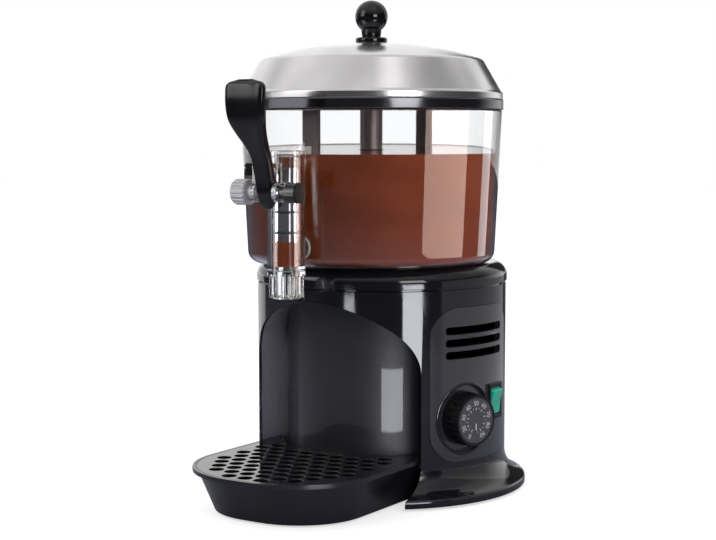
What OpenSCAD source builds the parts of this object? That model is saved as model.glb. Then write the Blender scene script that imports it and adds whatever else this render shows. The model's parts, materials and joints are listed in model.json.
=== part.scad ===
// Countertop hot chocolate dispenser: a clear bowl with a stirrer and a lever tap, standing on a
// round heated base with a drip tray. Millimetres, +Z up, the front is -Y. The origin is on the
// table, at the centre of the footprint's bounding box.

/* [Base] */
// Radius of the foot rim
foot_r = 140; // [136:1:146]
// Height of the foot rim's rounded edge
foot_h = 6.8; // [6:0.2:8]
// Radius of the concave flare between the foot and the wall
flare_r = 25; // [22:1:27]
// Height at which the flare starts
flare_z = 34; // [32:1:35]
// Outer radius of the upright wall
body_r = 120; // [118:1:122]
// Wall thickness of the plastic mouldings
body_wall = 3; // [2.5:0.1:3.5]
// Height of the wall's upper edge
body_top = 196; // [194:1:200]
// Height of the rubber feet, which is the gap under the foot rim
foot_gap = 2.5; // [2:0.1:3]
// Radius of a rubber foot
pad_r = 9; // [8:0.5:10]
// How far the rubber feet stand in from the middle of the foot's width
pad_in = 7.9; // [7.5:0.1:9]
// Thickness of the base plate
plate_t = 1.5; // [1:0.1:2]

/* [Top ring] */
// Height of the groove between the wall and the top ring
groove_h = 2; // [1.5:0.5:3]
// Height of the top ring above the groove
ring_h = 18; // [17:0.5:20]
// Outer radius of the top ring
ring_r = 121; // [120:0.5:123]
// Rounding of the top ring's upper edge
ring_round = 13; // [11:0.5:14]

/* [Recess] */
// Half width of the arched recess, which is also the radius of the inner column
recess_half = 91; // [90:0.5:93]
// Height of the recess where the arch springs from its upright sides
recess_spring = 120; // [112:1:121]
// Rise of the arch above its springing
recess_rise = 65; // [58:1:66]
// Radius of the arch's haunches
haunch_r = 50; // [40:1:54]
// Distance of the recess's rear from the base axis
recess_back = 44; // [42:0.5:48]
// Wall thickness of the recess liner
liner_wall = 2.5; // [2:0.1:3]

/* [Drip tray] */
// Distance from the base axis to the front of the tray
tray_reach = 236; // [226:1:246]
// Height of the tray rim above the table
tray_top = 42; // [40:0.5:44]
// Gap between the tray and each side of the recess
tray_gap = 3; // [2:0.5:4]
// Corner radius of the tray's front, seen from above
tray_corner = 78; // [68:1:80]
// How far the tray's sides draw in towards its floor
tray_draft = 16; // [12:1:18]
// How much further the tray's front draws in
tray_front_draft = 6; // [2:1:8]
// Wall thickness of the tray
tray_wall = 2.2; // [1.8:0.1:2.6]
// Depth of the tray's rim flange
tray_flange = 4; // [3.5:0.1:4.5]
// Width of the raised edge around the grid
tray_edge = 3; // [2.5:0.5:4]
// Width of the ledge under the grid
tray_ledge = 6; // [5:0.5:7]
// Thickness of the grid
grid_t = 2.4; // [2:0.1:2.6]
// Diameter of the grid's holes
hole_d = 13; // [10:0.5:14]
// Spacing of the grid's holes
hole_pitch = 17; // [16:0.5:20]
// Length of the runners that carry the tray
rail_len = 28; // [20:1:30]

/* [Bowl] */
// Distance of the bowl axis in front of the base axis
bowl_ahead = 19.5; // [18:0.5:21]
// Outer radius of the bowl at its rim
bowl_top_r = 124.5; // [123:0.5:126]
// Outer radius of the bowl just above its rounded bottom
bowl_low_r = 117.5; // [116:0.5:119]
// Height of the bowl
bowl_h = 143.7; // [140:0.1:148]
// Rounding of the bowl's bottom edge
bowl_round = 11; // [9:0.5:12]
// Wall thickness of the bowl
bowl_wall = 3; // [2.5:0.1:3.5]
// Radius of the heated pan in the bowl's floor
pan_r = 55; // [52:0.5:56]
// Depth of the heated pan below the bowl's underside
pan_depth = 22; // [18:0.5:24]
// Sheet thickness of the pan
pan_t = 1.2; // [1:0.1:1.5]
// Outer radius of the central column
column_tube_r = 9; // [8.6:0.1:9.4]
// Wall of the central column
column_tube_t = 1.2; // [1:0.1:1.4]
// Depth of the column's top below the bowl's rim
column_drop = 12; // [10:0.5:16]

/* [Lid] */
// Height of the black rim trim
trim_h = 9.6; // [8:0.2:11]
// Outer radius of the lid's rim
lid_rim_r = 125; // [124.5:0.1:126]
// Height of the lid's upright rim
lid_rim_h = 5.8; // [5:0.2:7]
// Radius of the knee where the cone meets the dome
lid_knee_r = 106; // [102:1:108]
// Height of the cone
lid_cone_h = 33; // [29:0.5:36]
// Height of the dome above the knee
lid_dome_h = 15; // [12:0.5:18]
// Sheet thickness of the lid
lid_t = 1.2; // [1:0.1:1.5]
// Radius of the ball knob
ball_r = 15.5; // [14:0.5:17]
// Radius of the knob's flange
knob_flange_r = 15; // [13:0.5:17]
// Height of the knob's flange
knob_flange_h = 5; // [4:0.5:6]
// Radius of the knob's neck
knob_neck_r = 8; // [7:0.5:9]
// Height of the ball's centre above the lid
ball_up = 24.4; // [22:0.2:26]

/* [Tap] */
// Distance of the tap axis in front of the base axis
tap_ahead = 160; // [159:0.5:162]
// Outer radius of the tap barrel
barrel_r = 17; // [16.5:0.1:18]
// Bore radius of the tap barrel
bore_r = 13; // [12.5:0.1:13.5]
// Height of the tap barrel
barrel_h = 106; // [104:1:110]
// Thickness of the barrel's outlet seat
seat_t = 4; // [3:0.5:4.5]
// Radius of the outlet
outlet_r = 8; // [7:0.5:8.5]
// Height of the nozzle below the barrel
nozzle_h = 24.5; // [20:0.5:28]
// Outer radius of the nozzle over its ribs
nozzle_r = 15.5; // [15:0.1:16.5]
// Number of ribs round the nozzle
nozzle_ribs = 16; // [12:1:20]
// Height of the lever pivot above the barrel's underside
pivot_up = 70; // [69:0.5:71]
// Distance of the lever pivot in front of the tap axis
pivot_ahead = 27; // [27:0.5:28]
// Radius of the pivot pin
pin_r = 4; // [3.5:0.1:4.5]
// Half length of the pivot pin with its knob and cap
pin_half = 34; // [32:0.5:36]
// Thickness of each lug
lug_t = 5; // [4.5:0.1:6]
// Radius of the knurled pin knob
pin_knob_r = 11.5; // [11:0.5:13]
// Number of flutes round the pin knob
knob_flutes = 18; // [12:1:24]
// Radius of the black pin cap
pin_cap_r = 9; // [8:0.5:10]

/* [Lever] */
// Width of the lever's stem
stem_w = 16; // [14:0.5:16]
// Thickness of the lever's stem
stem_t = 11; // [10:0.5:12]
// Width of the lever's head
head_w = 40; // [34:1:44]
// Height of the lever's head
head_h = 33; // [28:1:38]
// Thickness of the lever's head
head_t = 9; // [8:0.5:10]
// Height of the lever's top above its pivot
lever_up = 97; // [92:1:100]
// How far the head stands in front of the pivot
head_ahead = 31; // [28:1:33]
// Width of the lever's inner arm
arm_w = 8.4; // [7.6:0.2:8.8]
// Radius of the ball end of the inner arm
tip_r = 4.4; // [4:0.1:4.6]

/* [Stirrer] */
// Distance of the upright arms from the bowl axis
stir_reach = 102; // [98:0.5:103]
// Width of the upright arms
stir_w = 17; // [14:0.5:19]
// Thickness of the stirrer's bars
stir_t = 4; // [3.5:0.5:5]
// Height of the crossbar
bar_h = 6; // [5:0.5:7]
// Wall of the stirrer's sleeve, which turns round the central column
sleeve_wall = 1.3; // [1:0.1:1.6]
// Length of the sleeve below the column's top
sleeve_len = 48; // [30:1:60]
// Height of the scrapers
scraper_h = 78; // [70:1:82]
// Radius of the drive shaft
shaft_r = 5; // [4.6:0.1:5.2]
// Side of the shaft's square end
square_w = 7; // [6.2:0.1:7]

/* [Controls] */
// Direction of the panel's middle, in degrees from the front towards the right
panel_angle = 80; // [79:0.5:81]
// Width of the panel, straight across
panel_w = 109; // [108:1:114]
// Height of the panel
panel_h = 142; // [139:1:146]
// Height of the panel's lower edge
panel_z = 38; // [37:0.5:39]
// Corner radius of the panel
panel_corner = 28; // [22:1:32]
// How far the panel stands out from the wall
panel_proud = 1; // [0.6:0.1:1.5]
// Direction of the thermostat knob
dial_angle = 72; // [71.5:0.1:72]
// Height of the thermostat knob
dial_z = 77; // [76:0.5:78]
// Radius of the round well behind the knob
well_r = 31.5; // [30:0.5:31.5]
// Radius of the thermostat knob
dial_r = 25; // [23:0.5:26]
// Length of the thermostat knob
dial_len = 19; // [17:0.5:21]
// Direction of the rocker switch
rocker_angle = 92.5; // [92.5:0.1:93]
// Height of the rocker switch
rocker_z = 88; // [87:0.5:90]
// Width of the rocker
rocker_w = 19.5; // [18.5:0.1:19.5]
// Height of the rocker
rocker_h = 25; // [23:0.5:26]
// Number of vent slots
vent_count = 3; // [2:1:3]
// Height of a vent slot
vent_h = 7.3; // [6:0.1:8]
// Spacing of the vent slots
vent_pitch = 11.3; // [10.5:0.1:12]
// Length of a vent slot
vent_len = 80; // [70:1:86]
// Height of the top vent slot's middle
vent_z = 159; // [158:0.5:163]

/* [Inside] */
// Radius of the water tank
tank_r = 60; // [59:0.5:61]
// Depth of the water tank below its flange
tank_depth = 57; // [50:1:60]
// Sheet thickness of the tank
tank_t = 1.2; // [1:0.1:1.5]
// Radius of the heater's ring
heater_r = 40; // [36:1:44]
// Radius of the heater's rod
heater_rod = 4; // [3.5:0.1:4.5]
// Radius of the gearbox
gearbox_r = 38; // [34:1:42]
// Height of the gearbox
gearbox_h = 24; // [20:1:28]
// Radius of the motor
motor_r = 32; // [28:1:36]
// Height of the motor
motor_h = 55; // [50:1:60]
// Height of the motor bracket's upper face
bracket_z = 115; // [112:1:125]

/* [Hidden] */

$fn = 96;
// Clearances: between fixed pieces, between moving pieces, and of a turning fit
fix_gap = 0.2;
move_gap = 0.3;
turn_gap = 0.05;
// Overshoot of cutting solids
cut = 1;

// The base axis stands behind the origin, so that foot and tray together are centred on it
base_y = (tray_reach - foot_r) / 2;
bowl_y = base_y - bowl_ahead;
tap_y = base_y - tap_ahead;

inner_r = body_r - body_wall;
pad_circle = (inner_r + foot_r) / 2 - pad_in;
ring_z = body_top + groove_h;
ring_top = ring_z + ring_h;
bowl_z = ring_top + move_gap;
bowl_top = bowl_z + bowl_h;
bowl_floor = bowl_z + bowl_wall;
lid_z = bowl_top + 0.4 + trim_h + fix_gap;
lid_knee_z = lid_z + lid_rim_h + lid_cone_h;
lid_top = lid_knee_z + lid_dome_h;

plate_top = foot_gap + plate_t;
pad_angles = [68, 145, -145, -68];
boss_r = 5.5;
// How far the panel's hidden flange reaches behind the wall round it
panel_lip = 2;
boss_top = panel_z - panel_lip - fix_gap;
screw_r = 2;
// Depth of the base screws in their bosses, and of the bosses' holes beyond them
base_hold = 7;
hole_spare = 2;
base_head = 1;
spigot_h = 8;
crown_r = (pow(recess_half - haunch_r, 2) + pow(recess_rise, 2) - pow(haunch_r, 2))
  / (2 * (recess_rise - haunch_r));
crown_z = recess_spring + recess_rise - crown_r;
arch_break = atan2(recess_spring - crown_z, recess_half - haunch_r);

tray_half = recess_half - tray_gap;
tray_foot = 2;
tray_back = -recess_back - tray_gap;
tray_column_gap = 1;
flange_z = tray_top - tray_flange;
grid_z = tray_top - grid_t;
rail_w = 6;
rail_h = 4.7;

gland_z = 60;
gland_r = 8;
cord_r = 4;

well_floor = body_r - 4.5;
well_wall = 2;
// The thermostat's depth, its reach to the front and the rear of its spindle, and its half height
thermo_deep = 23;
thermo_front = 9;
thermo_rear = 22;
thermo_half = 20;
spindle_r = 3;
pad_face = body_r + panel_proud + 0.4;
bezel_t = 2;
bezel_w = rocker_w + 5.5;
bezel_h = rocker_h + 9;
switch_depth = 22;
// Depth of the room in which the rocker's inner end swings
rocker_room = 12.5;
rocker_pivot = pad_face - 3;
panel_back = inner_r - fix_gap - panel_lip;

nut_r = pan_r + 10;
seat_r = nut_r + 5;
ledge_drop = 10;
ledge_z = ring_top - ledge_drop;
gasket_t = 1;
tank_top = ledge_z + gasket_t;
tank_bottom = tank_top - tank_depth;
tank_tube_r = 7;
// Length of the heater's ends below the tank
heater_tail = 14;
// Depth of the tank's screws in the ring, and of the motor's screws in the gearbox
tank_hold = 7;
motor_hold = 8;
screw_head = 1.5;
pan_bottom = bowl_z - pan_depth;
column_top = bowl_top - column_drop;

barrel_z = bowl_z + 0.9;
barrel_top = barrel_z + barrel_h;
chamber_h = 22;
barrel_lip = 0.8;
neck_r = 7.5;
neck_bore = 5.5;
neck_z = barrel_z + seat_t + chamber_h - neck_bore - 1.5;
pivot_z = barrel_z + pivot_up;
piston_z = barrel_z + seat_t + chamber_h;
piston_top = pivot_z + 21;
lug_in = stem_w / 2 + 1;
lug_r = 8.5;

bar_z = bowl_top + 6.5;
hub_r = 16;
sleeve_gap = 0.4;
square_top = bar_z - 4.5;

bracket_w = 60;
bracket_half = 50;
bracket_t = 3;

module at_base() translate([0, base_y, 0]) children();
module at_bowl(z = 0) translate([0, bowl_y, z]) children();
module at_tap(z = 0) translate([0, tap_y, z]) children();
module at_pivot() translate([0, tap_y - pivot_ahead, pivot_z]) children();

// +X points straight out of the base at an angle from the front, +Y runs round towards the back
module at_side(angle, z = 0) at_base() rotate([0, 0, angle - 90]) translate([0, 0, z]) children();

function arc(cx, cy, r, from, to, steps) = [for (i = [0:steps])
  let (a = from + (to - from) * i / steps) [cx + r * cos(a), cy + r * sin(a)]];

function mirrored(points) = [for (i = [len(points) - 1:-1:0]) [-points[i][0], points[i][1]]];

module turned(points) rotate_extrude() polygon(points);

module ring(outer, inner, h) difference() {
  cylinder(r = outer, h = h);
  translate([0, 0, -cut]) cylinder(r = inner, h = h + 2 * cut);
}

module x_cylinder(r, from, to) translate([from, 0, 0]) rotate([0, 90, 0]) cylinder(r = r, h = to - from);

module box(size_x, y_from, y_to, z_from, z_to)
  translate([-size_x / 2, y_from, z_from]) cube([size_x, y_to - y_from, z_to - z_from]);

// A rectangle with round corners, centred, from squares and circles
module round_rect(w, h, r) {
  square([w, h - 2 * r], center = true);
  square([w - 2 * r, h], center = true);
  for (sx = [-1, 1], sy = [-1, 1])
    translate([sx * (w / 2 - r), sy * (h / 2 - r)]) circle(r = r);
}

// ---- Base -------------------------------------------------------------------------------

// The base's outline, drawn in by a wall thickness, with its ends pushed out by a cut
function shell_points(inset, over) = concat(
  [[0, foot_gap - over], [foot_r - inset, foot_gap - over]],
  arc(foot_r - foot_h / 2, foot_h, foot_h / 2 - inset / 4, 0, 60, 6),
  arc(body_r + flare_r, flare_z, flare_r + inset,
    360 - acos((foot_r - foot_h * 0.8 - inset - body_r - flare_r) / (flare_r + inset)), 180, 16),
  [[body_r - inset, body_top + over], [0, body_top + over]]);

// The recess's outline, seen from the front and grown by an offset
function arch_points(grow, low) = let (
    side = arc(recess_half - haunch_r, recess_spring, haunch_r + grow, 0, arch_break, 14),
    crown = arc(0, crown_z, crown_r + grow, arch_break, 90, 12),
    half = concat([[recess_half + grow, low]], side, crown))
  concat(half, mirrored([for (i = [0:len(half) - 2]) half[i]]));

module arch_prism(grow, low) translate([0, grow - recess_back, 0]) rotate([90, 0, 0])
  linear_extrude(foot_r) polygon(arch_points(grow, low));

module panel_prism(grow, from, to) at_side(panel_angle, panel_z + panel_h / 2)
  translate([from, 0, 0]) rotate([90, 0, 90]) linear_extrude(to - from)
    round_rect(panel_w + 2 * grow, panel_h + 2 * grow, panel_corner + grow);

module at_pads(z) at_base() for (a = pad_angles) rotate([0, 0, a - 90])
  translate([pad_circle, 0, z]) children();

module housing() color("#17171b") difference() {
  union() {
    at_base() difference() {
      turned(shell_points(0, 0));
      turned(shell_points(body_wall, cut));
    }
    intersection() {
      at_pads(plate_top + fix_gap) cylinder(r = boss_r, h = boss_top - plate_top - fix_gap);
      at_base() turned(shell_points(body_wall / 2, 0));
    }
  }
  at_base() arch_prism(0, -cut);
  panel_prism(fix_gap, inner_r - 20, foot_r);
  at_pads(0) cylinder(r = screw_r + turn_gap, h = plate_top + base_hold + hole_spare);
  at_side(180, gland_z) x_cylinder(gland_r + fix_gap, inner_r - 20, foot_r);
}

module top_ring() color("#1b1b20") difference() {
  union() {
    at_base() difference() {
      turned(concat([[0, ring_z], [ring_r, ring_z]],
        arc(ring_r - ring_round, ring_top - ring_round, ring_round, 0, 90, 12), [[0, ring_top]]));
      turned(concat([[0, ring_z - cut], [inner_r - fix_gap - body_wall, ring_z - cut],
        [inner_r - fix_gap - body_wall, ring_z + 2], [ring_r - body_wall, ring_z + 2]],
        arc(ring_r - ring_round, ring_top - ring_round, ring_round - body_wall, 0, 90, 12),
        [[0, ring_top - body_wall]]));
    }
    at_base() translate([0, 0, ring_z - spigot_h])
      ring(inner_r - fix_gap, inner_r - fix_gap - body_wall, spigot_h + 1);
    at_bowl(ledge_z - body_wall) cylinder(r = seat_r + body_wall, h = ledge_drop + body_wall - 1);
  }
  at_bowl(ledge_z) cylinder(r = seat_r, h = ledge_drop + cut);
  at_bowl(ledge_z - body_wall - cut) cylinder(r = tank_r + fix_gap, h = ledge_drop);
  at_bowl(ledge_z - tank_hold - 1) for (a = [45:90:315]) rotate([0, 0, a])
    translate([nut_r - 2, 0, 0]) cylinder(r = screw_r - turn_gap, h = tank_hold + 1 + cut);
}

module recess_liner() color("#101014") at_base() difference() {
  intersection() {
    arch_prism(liner_wall, plate_top + fix_gap);
    turned(shell_points(body_wall + fix_gap, cut));
  }
  difference() {
    arch_prism(0, 0);
    cylinder(r = recess_half, h = ring_top);
  }
  cylinder(r = recess_half - liner_wall, h = ring_top);
}

module base_plate() color("#3a3a3e") difference() {
  at_base() translate([0, 0, foot_gap]) cylinder(r = foot_r - body_wall - 0.5, h = plate_t);
  at_base() difference() {
    arch_prism(0, 0);
    cylinder(r = recess_half, h = ring_top);
  }
  at_pads(0) cylinder(r = screw_r + fix_gap, h = foot_gap + plate_t + cut);
}

module rubber_feet() color("#0c0c0c") at_pads(0) difference() {
  cylinder(r = pad_r, h = foot_gap);
  translate([0, 0, -cut]) cylinder(r = screw_r + fix_gap, h = foot_gap + 2 * cut);
  translate([0, 0, -cut]) cylinder(r = screw_r * 2.2, h = foot_gap / 2 + cut);
}

module base_screws() color("#b9bcc0") at_pads(foot_gap / 2 - base_head) {
  cylinder(r = screw_r * 2, h = base_head);
  cylinder(r = screw_r, h = plate_top + base_hold + base_head - foot_gap / 2);
}

module tray_rails() color("#101014") at_base() for (sx = [-1, 1])
  translate([sx * (recess_half - fix_gap - rail_w / 2), 0, flange_z - move_gap - rail_h])
    box(rail_w, -recess_back - fix_gap - rail_len, -recess_back - fix_gap, 0, rail_h);

module cable_gland() color("#0c0c0c") at_side(180, gland_z) difference() {
  union() {
    x_cylinder(gland_r, inner_r - 8, body_r + 2);
    x_cylinder(gland_r + 3, inner_r - 3, inner_r - 0.6);
    x_cylinder(gland_r + 3, body_r + 0.6, body_r + 4);
    x_cylinder(gland_r - 1, body_r + 3, body_r + 14);
  }
  x_cylinder(cord_r, inner_r - 8 - cut, body_r + 14 + cut);
}

module terminal_block() color("#d9d4c4") at_side(180) translate([inner_r - 30, 0, plate_top])
  difference() {
    box(26, -24, 24, 0, 16);
    for (i = [-2:2]) translate([0, i * 9, 8]) x_cylinder(2.4, -14, 14);
  }

// ---- Controls ---------------------------------------------------------------------------

module control_panel() color("#232328") difference() {
  union() {
    intersection() {
      at_base() translate([0, 0, panel_z - 20]) ring(body_r + panel_proud, panel_back, panel_h + 40);
      panel_prism(0, inner_r - 40, foot_r);
    }
    intersection() {
      at_base() translate([0, 0, panel_z - 20]) ring(inner_r - fix_gap, panel_back, panel_h + 40);
      panel_prism(panel_lip, inner_r - 40, foot_r);
    }
    intersection() {
      at_side(dial_angle, dial_z) x_cylinder(well_r + well_wall, well_floor - 3, foot_r);
      at_base() cylinder(r = body_r + panel_proud, h = body_top);
      panel_prism(0, inner_r - 40, foot_r);
    }
    at_side(rocker_angle, rocker_z) rotate([0, 0, 90])
      box(bezel_w, -pad_face, -panel_back, -bezel_h / 2, bezel_h / 2);
  }
  at_base() arch_prism(liner_wall + fix_gap, -cut);
  at_side(dial_angle, dial_z) x_cylinder(well_r, well_floor, foot_r);
  at_side(dial_angle, dial_z) x_cylinder(spindle_r + 1, well_floor - 10, foot_r);
  at_side(rocker_angle, rocker_z) rotate([0, 0, 90])
    box(rocker_w + 3, -foot_r, -inner_r + 20, -rocker_h / 2 - 1.5, rocker_h / 2 + 1.5);
  for (i = [0:vent_count - 1]) at_side(panel_angle, vent_z - i * vent_pitch)
    translate([inner_r - 20, 0, 0]) rotate([90, 0, 90]) linear_extrude(foot_r - inner_r + 20)
      round_rect(vent_len, vent_h, vent_h / 2 - 0.5);
}

module thermostat() color("#c9c4b6") at_side(dial_angle, dial_z) difference() {
  union() {
    translate([well_floor - 3 - fix_gap - thermo_deep / 2, 0, 0])
      box(thermo_deep, -thermo_front, thermo_rear, -thermo_half, thermo_half);
    translate([0, thermo_rear - 7, 0])
      x_cylinder(6, well_floor - thermo_deep - 7, well_floor - thermo_deep - 2);
  }
  x_cylinder(spindle_r + turn_gap, well_floor - thermo_deep + 1, well_floor);
}

module dial_spindle() color("#b9bcc0") at_side(dial_angle, dial_z)
  x_cylinder(spindle_r, well_floor - thermo_deep + 2, well_floor + dial_len - 6);

module dial_knob() color("#121214") at_side(dial_angle, dial_z) difference() {
  union() {
    x_cylinder(dial_r, well_floor + 1, well_floor + 5);
    x_cylinder(dial_r - 1.8, well_floor + 5, well_floor + dial_len);
    for (i = [0:23]) rotate([i * 15, 0, 0]) translate([0, dial_r - 2, 0])
      x_cylinder(1.1, well_floor + 5, well_floor + dial_len - 1);
  }
  x_cylinder(spindle_r + turn_gap, well_floor, well_floor + dial_len - 5);
  x_cylinder(dial_r - 4, well_floor + dial_len - 1.2, well_floor + dial_len + cut);
}

module dial_face() color("#77777c") at_side(dial_angle, dial_z)
  x_cylinder(dial_r - 4 - fix_gap, well_floor + dial_len - 1.2, well_floor + dial_len - 0.2);

module switch_frame() color("#0d0d0f") at_side(rocker_angle, rocker_z) rotate([0, 0, 90]) difference() {
  union() {
    box(bezel_w, -pad_face - bezel_t, -pad_face, -bezel_h / 2, bezel_h / 2);
    box(rocker_w + 2.6, -pad_face, -pad_face + switch_depth, -rocker_h / 2 - 1.3, rocker_h / 2 + 1.3);
  }
  box(rocker_w + 2 * move_gap, -foot_r, -pad_face + rocker_room, -rocker_h / 2 - move_gap,
    rocker_h / 2 + move_gap);
}

// The rocker's two faces meet over its pivot, and its ends are round about that pivot
module rocker() color("#1fae82") at_side(rocker_angle, rocker_z) translate([rocker_pivot, 0, 0])
  rotate([90, 0, 0]) translate([0, 0, -rocker_w / 2]) linear_extrude(rocker_w) intersection() {
    circle(r = rocker_h / 2);
    polygon([[-5, -rocker_h / 2], [4.2, -rocker_h / 2], [5.2, 0], [8.4, rocker_h / 2],
      [-5, rocker_h / 2]]);
  }

// ---- Heating and drive ------------------------------------------------------------------

module water_tank() color("#c4c6c8") at_bowl() difference() {
  union() {
    translate([0, 0, tank_bottom]) cylinder(r = tank_r, h = tank_depth);
    translate([0, 0, tank_top]) cylinder(r = seat_r - 1.5, h = tank_t);
  }
  difference() {
    translate([0, 0, tank_bottom + tank_t]) cylinder(r = tank_r - tank_t, h = tank_depth + 5);
    cylinder(r = tank_tube_r, h = ring_top - 2);
  }
  translate([0, 0, tank_bottom - cut]) cylinder(r = tank_tube_r - tank_t, h = 2 * tank_depth);
  translate([0, 0, tank_top - cut]) for (a = [45:90:315]) rotate([0, 0, a])
    translate([nut_r - 2, 0, 0]) cylinder(r = screw_r + fix_gap, h = 2 * cut + tank_t);
  for (sx = [-1, 1]) translate([sx * heater_r, 0, tank_bottom - cut])
    cylinder(r = heater_rod + turn_gap, h = 2 * cut + tank_t);
}

module tank_gasket() color("#8a2d22") at_bowl(ledge_z) difference() {
  ring(seat_r - 1.5, tank_r + fix_gap, gasket_t);
  for (a = [45:90:315]) rotate([0, 0, a]) translate([nut_r - 2, 0, -cut])
    cylinder(r = screw_r + fix_gap, h = gasket_t + 2 * cut);
}

module tank_screws() color("#b9bcc0") at_bowl(tank_top + tank_t) for (a = [45:90:315])
  rotate([0, 0, a]) translate([nut_r - 2, 0, 0]) {
    cylinder(r = screw_r * 1.8, h = screw_head);
    translate([0, 0, -tank_hold - gasket_t - tank_t])
      cylinder(r = screw_r - 2 * turn_gap, h = tank_hold + gasket_t + tank_t);
  }

module heating_element() color("#7d7f82") at_bowl(tank_bottom + tank_t + 2) {
  translate([0, 0, heater_rod]) rotate_extrude() translate([heater_r, 0]) circle(r = heater_rod);
  for (sx = [-1, 1]) translate([sx * heater_r, 0, -tank_t - heater_tail])
    cylinder(r = heater_rod, h = tank_t + heater_tail + heater_rod);
}

module safety_thermostat() color("#c4c6c8") at_bowl(tank_bottom - 8) translate([0, heater_r - 8, 0]) {
  cylinder(r = 9, h = 8);
  translate([0, 0, -4]) cylinder(r = 6.5, h = 4.5);
}

module shaft_bush() color("#b48a3c") at_bowl(ring_top - 12)
  ring(tank_tube_r - tank_t - turn_gap, shaft_r + turn_gap, 9);

module motor_bracket() color("#9a9da1") at_bowl() difference() {
  union() {
    translate([0, 0, bracket_z - bracket_t])
      box(2 * bracket_half, -bracket_w / 2, bracket_w / 2, 0, bracket_t);
    for (sx = [-1, 1]) translate([sx * (bracket_half - bracket_t / 2), 0, plate_top])
      box(bracket_t, -bracket_w / 2, bracket_w / 2, 0, bracket_z - plate_top - 1);
    for (sx = [-1, 1]) translate([sx * (bracket_half + 5), 0, plate_top])
      box(12, -bracket_w / 2, bracket_w / 2, 0, bracket_t);
  }
  cylinder(r = shaft_r + 3, h = bracket_z + cut);
  for (a = [45:90:315]) rotate([0, 0, a]) translate([gearbox_r - 6, 0, bracket_z - 2 * bracket_t])
    cylinder(r = screw_r + fix_gap, h = 4 * bracket_t);
}

module gearbox() color("#b4b6ba") at_bowl(bracket_z - bracket_t - gearbox_h) difference() {
  cylinder(r = gearbox_r, h = gearbox_h);
  translate([0, 0, 3]) cylinder(r = shaft_r + turn_gap, h = gearbox_h);
  for (a = [45:90:315]) rotate([0, 0, a]) translate([gearbox_r - 6, 0, gearbox_h - motor_hold - hole_spare])
    cylinder(r = screw_r + turn_gap, h = 2 * motor_hold);
}

module motor() color("#55585c") at_bowl(bracket_z - bracket_t - gearbox_h - motor_h) {
  cylinder(r = motor_r, h = motor_h);
  translate([0, 0, -3]) cylinder(r = 9, h = 3.5);
}

module motor_screws() color("#b9bcc0") at_bowl(bracket_z) for (a = [45:90:315])
  rotate([0, 0, a]) translate([gearbox_r - 6, 0, 0]) {
    cylinder(r = screw_r * 1.8, h = screw_head);
    translate([0, 0, -motor_hold - bracket_t]) cylinder(r = screw_r, h = motor_hold + bracket_t);
  }

module drive_shaft() color("#d0d2d4") at_bowl() {
  translate([0, 0, bracket_z - bracket_t - gearbox_h + 4])
    cylinder(r = shaft_r, h = column_top + 3 - (bracket_z - bracket_t - gearbox_h + 4));
  translate([0, 0, column_top]) box(square_w, -square_w / 2, square_w / 2, 0, square_top - column_top);
}

// ---- Drip tray --------------------------------------------------------------------------

// Half of the tray's plan, drawn in by an inset and with its front drawn in further
function tray_half_points(inset, front) = let (
    r = tray_corner - inset, half = tray_half - inset, ahead = -tray_reach + inset + front)
  concat(arc(half - r, ahead + r, r, -90, 0, 14), [[half, tray_back]]);

function tray_points(inset, front) = concat(tray_half_points(inset, front),
  mirrored(tray_half_points(inset, front)));

module tray_slab(inset, front, z, h) translate([0, 0, z]) linear_extrude(h)
  polygon(tray_points(inset, front));

module column_clear(gap) translate([0, 0, -cut])
  cylinder(r = recess_half + tray_column_gap + gap, h = tray_top + 3 * cut);

// The tapering body of the tray, drawn in by a wall thickness
module tray_body(inset, z) hull() {
  tray_slab(tray_draft + inset, tray_front_draft, z, 0.1);
  tray_slab(5 + inset, 0, flange_z - 0.1, 0.1);
}

module drip_tray() color("#15151a") at_base() difference() {
  union() {
    tray_body(0, tray_foot);
    tray_slab(0, 0, flange_z, tray_flange);
  }
  difference() {
    union() {
      tray_body(tray_wall, tray_foot + tray_wall);
      tray_slab(tray_edge + tray_ledge, 0, flange_z - 0.1, tray_flange + cut);
    }
    column_clear(tray_wall);
  }
  difference() {
    tray_slab(tray_edge, 0, grid_z - move_gap, tray_flange);
    column_clear(tray_edge);
  }
  column_clear(0);
}

// A hole is drilled only where the grid leaves a full web round it
function in_grid(x, y) = let (
    keep = hole_d / 2 + 2.5, half = tray_half - tray_edge - keep,
    r = tray_corner - tray_edge - keep, cy = -tray_reach + tray_edge + keep + r)
  abs(x) <= half && y <= tray_back - keep + 2
  && norm([x, y]) >= recess_half + tray_column_gap + tray_edge + keep
  && (y >= cy || abs(x) <= half - r
    ? y >= -tray_reach + tray_edge + keep
    : norm([abs(x) - (half - r), y - cy]) <= r);

row_pitch = hole_pitch * sqrt(3) / 2;
rows = floor(tray_reach / row_pitch);

module drip_grid() color("#1c1c21") at_base() difference() {
  tray_slab(tray_edge + move_gap, 0, grid_z, grid_t);
  column_clear(tray_edge + move_gap);
  for (j = [0:rows], i = [-6:6]) {
    x = (i + (j % 2) / 2) * hole_pitch;
    y = -tray_reach + tray_edge + hole_d / 2 + 4 + j * row_pitch;
    if (in_grid(x, y)) translate([x, y, grid_z - cut])
      cylinder(r = hole_d / 2, h = grid_t + 2 * cut, $fn = 24);
  }
}

// ---- Bowl and tap -----------------------------------------------------------------------

// The bowl's outline, drawn in by a wall thickness
function bowl_points(inset, over) = concat([[0, bowl_z + inset]],
  arc(bowl_low_r - bowl_round, bowl_z + bowl_round, bowl_round - inset, -90, 0, 12),
  [[bowl_top_r - inset, bowl_top + over], [0, bowl_top + over]]);

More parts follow.
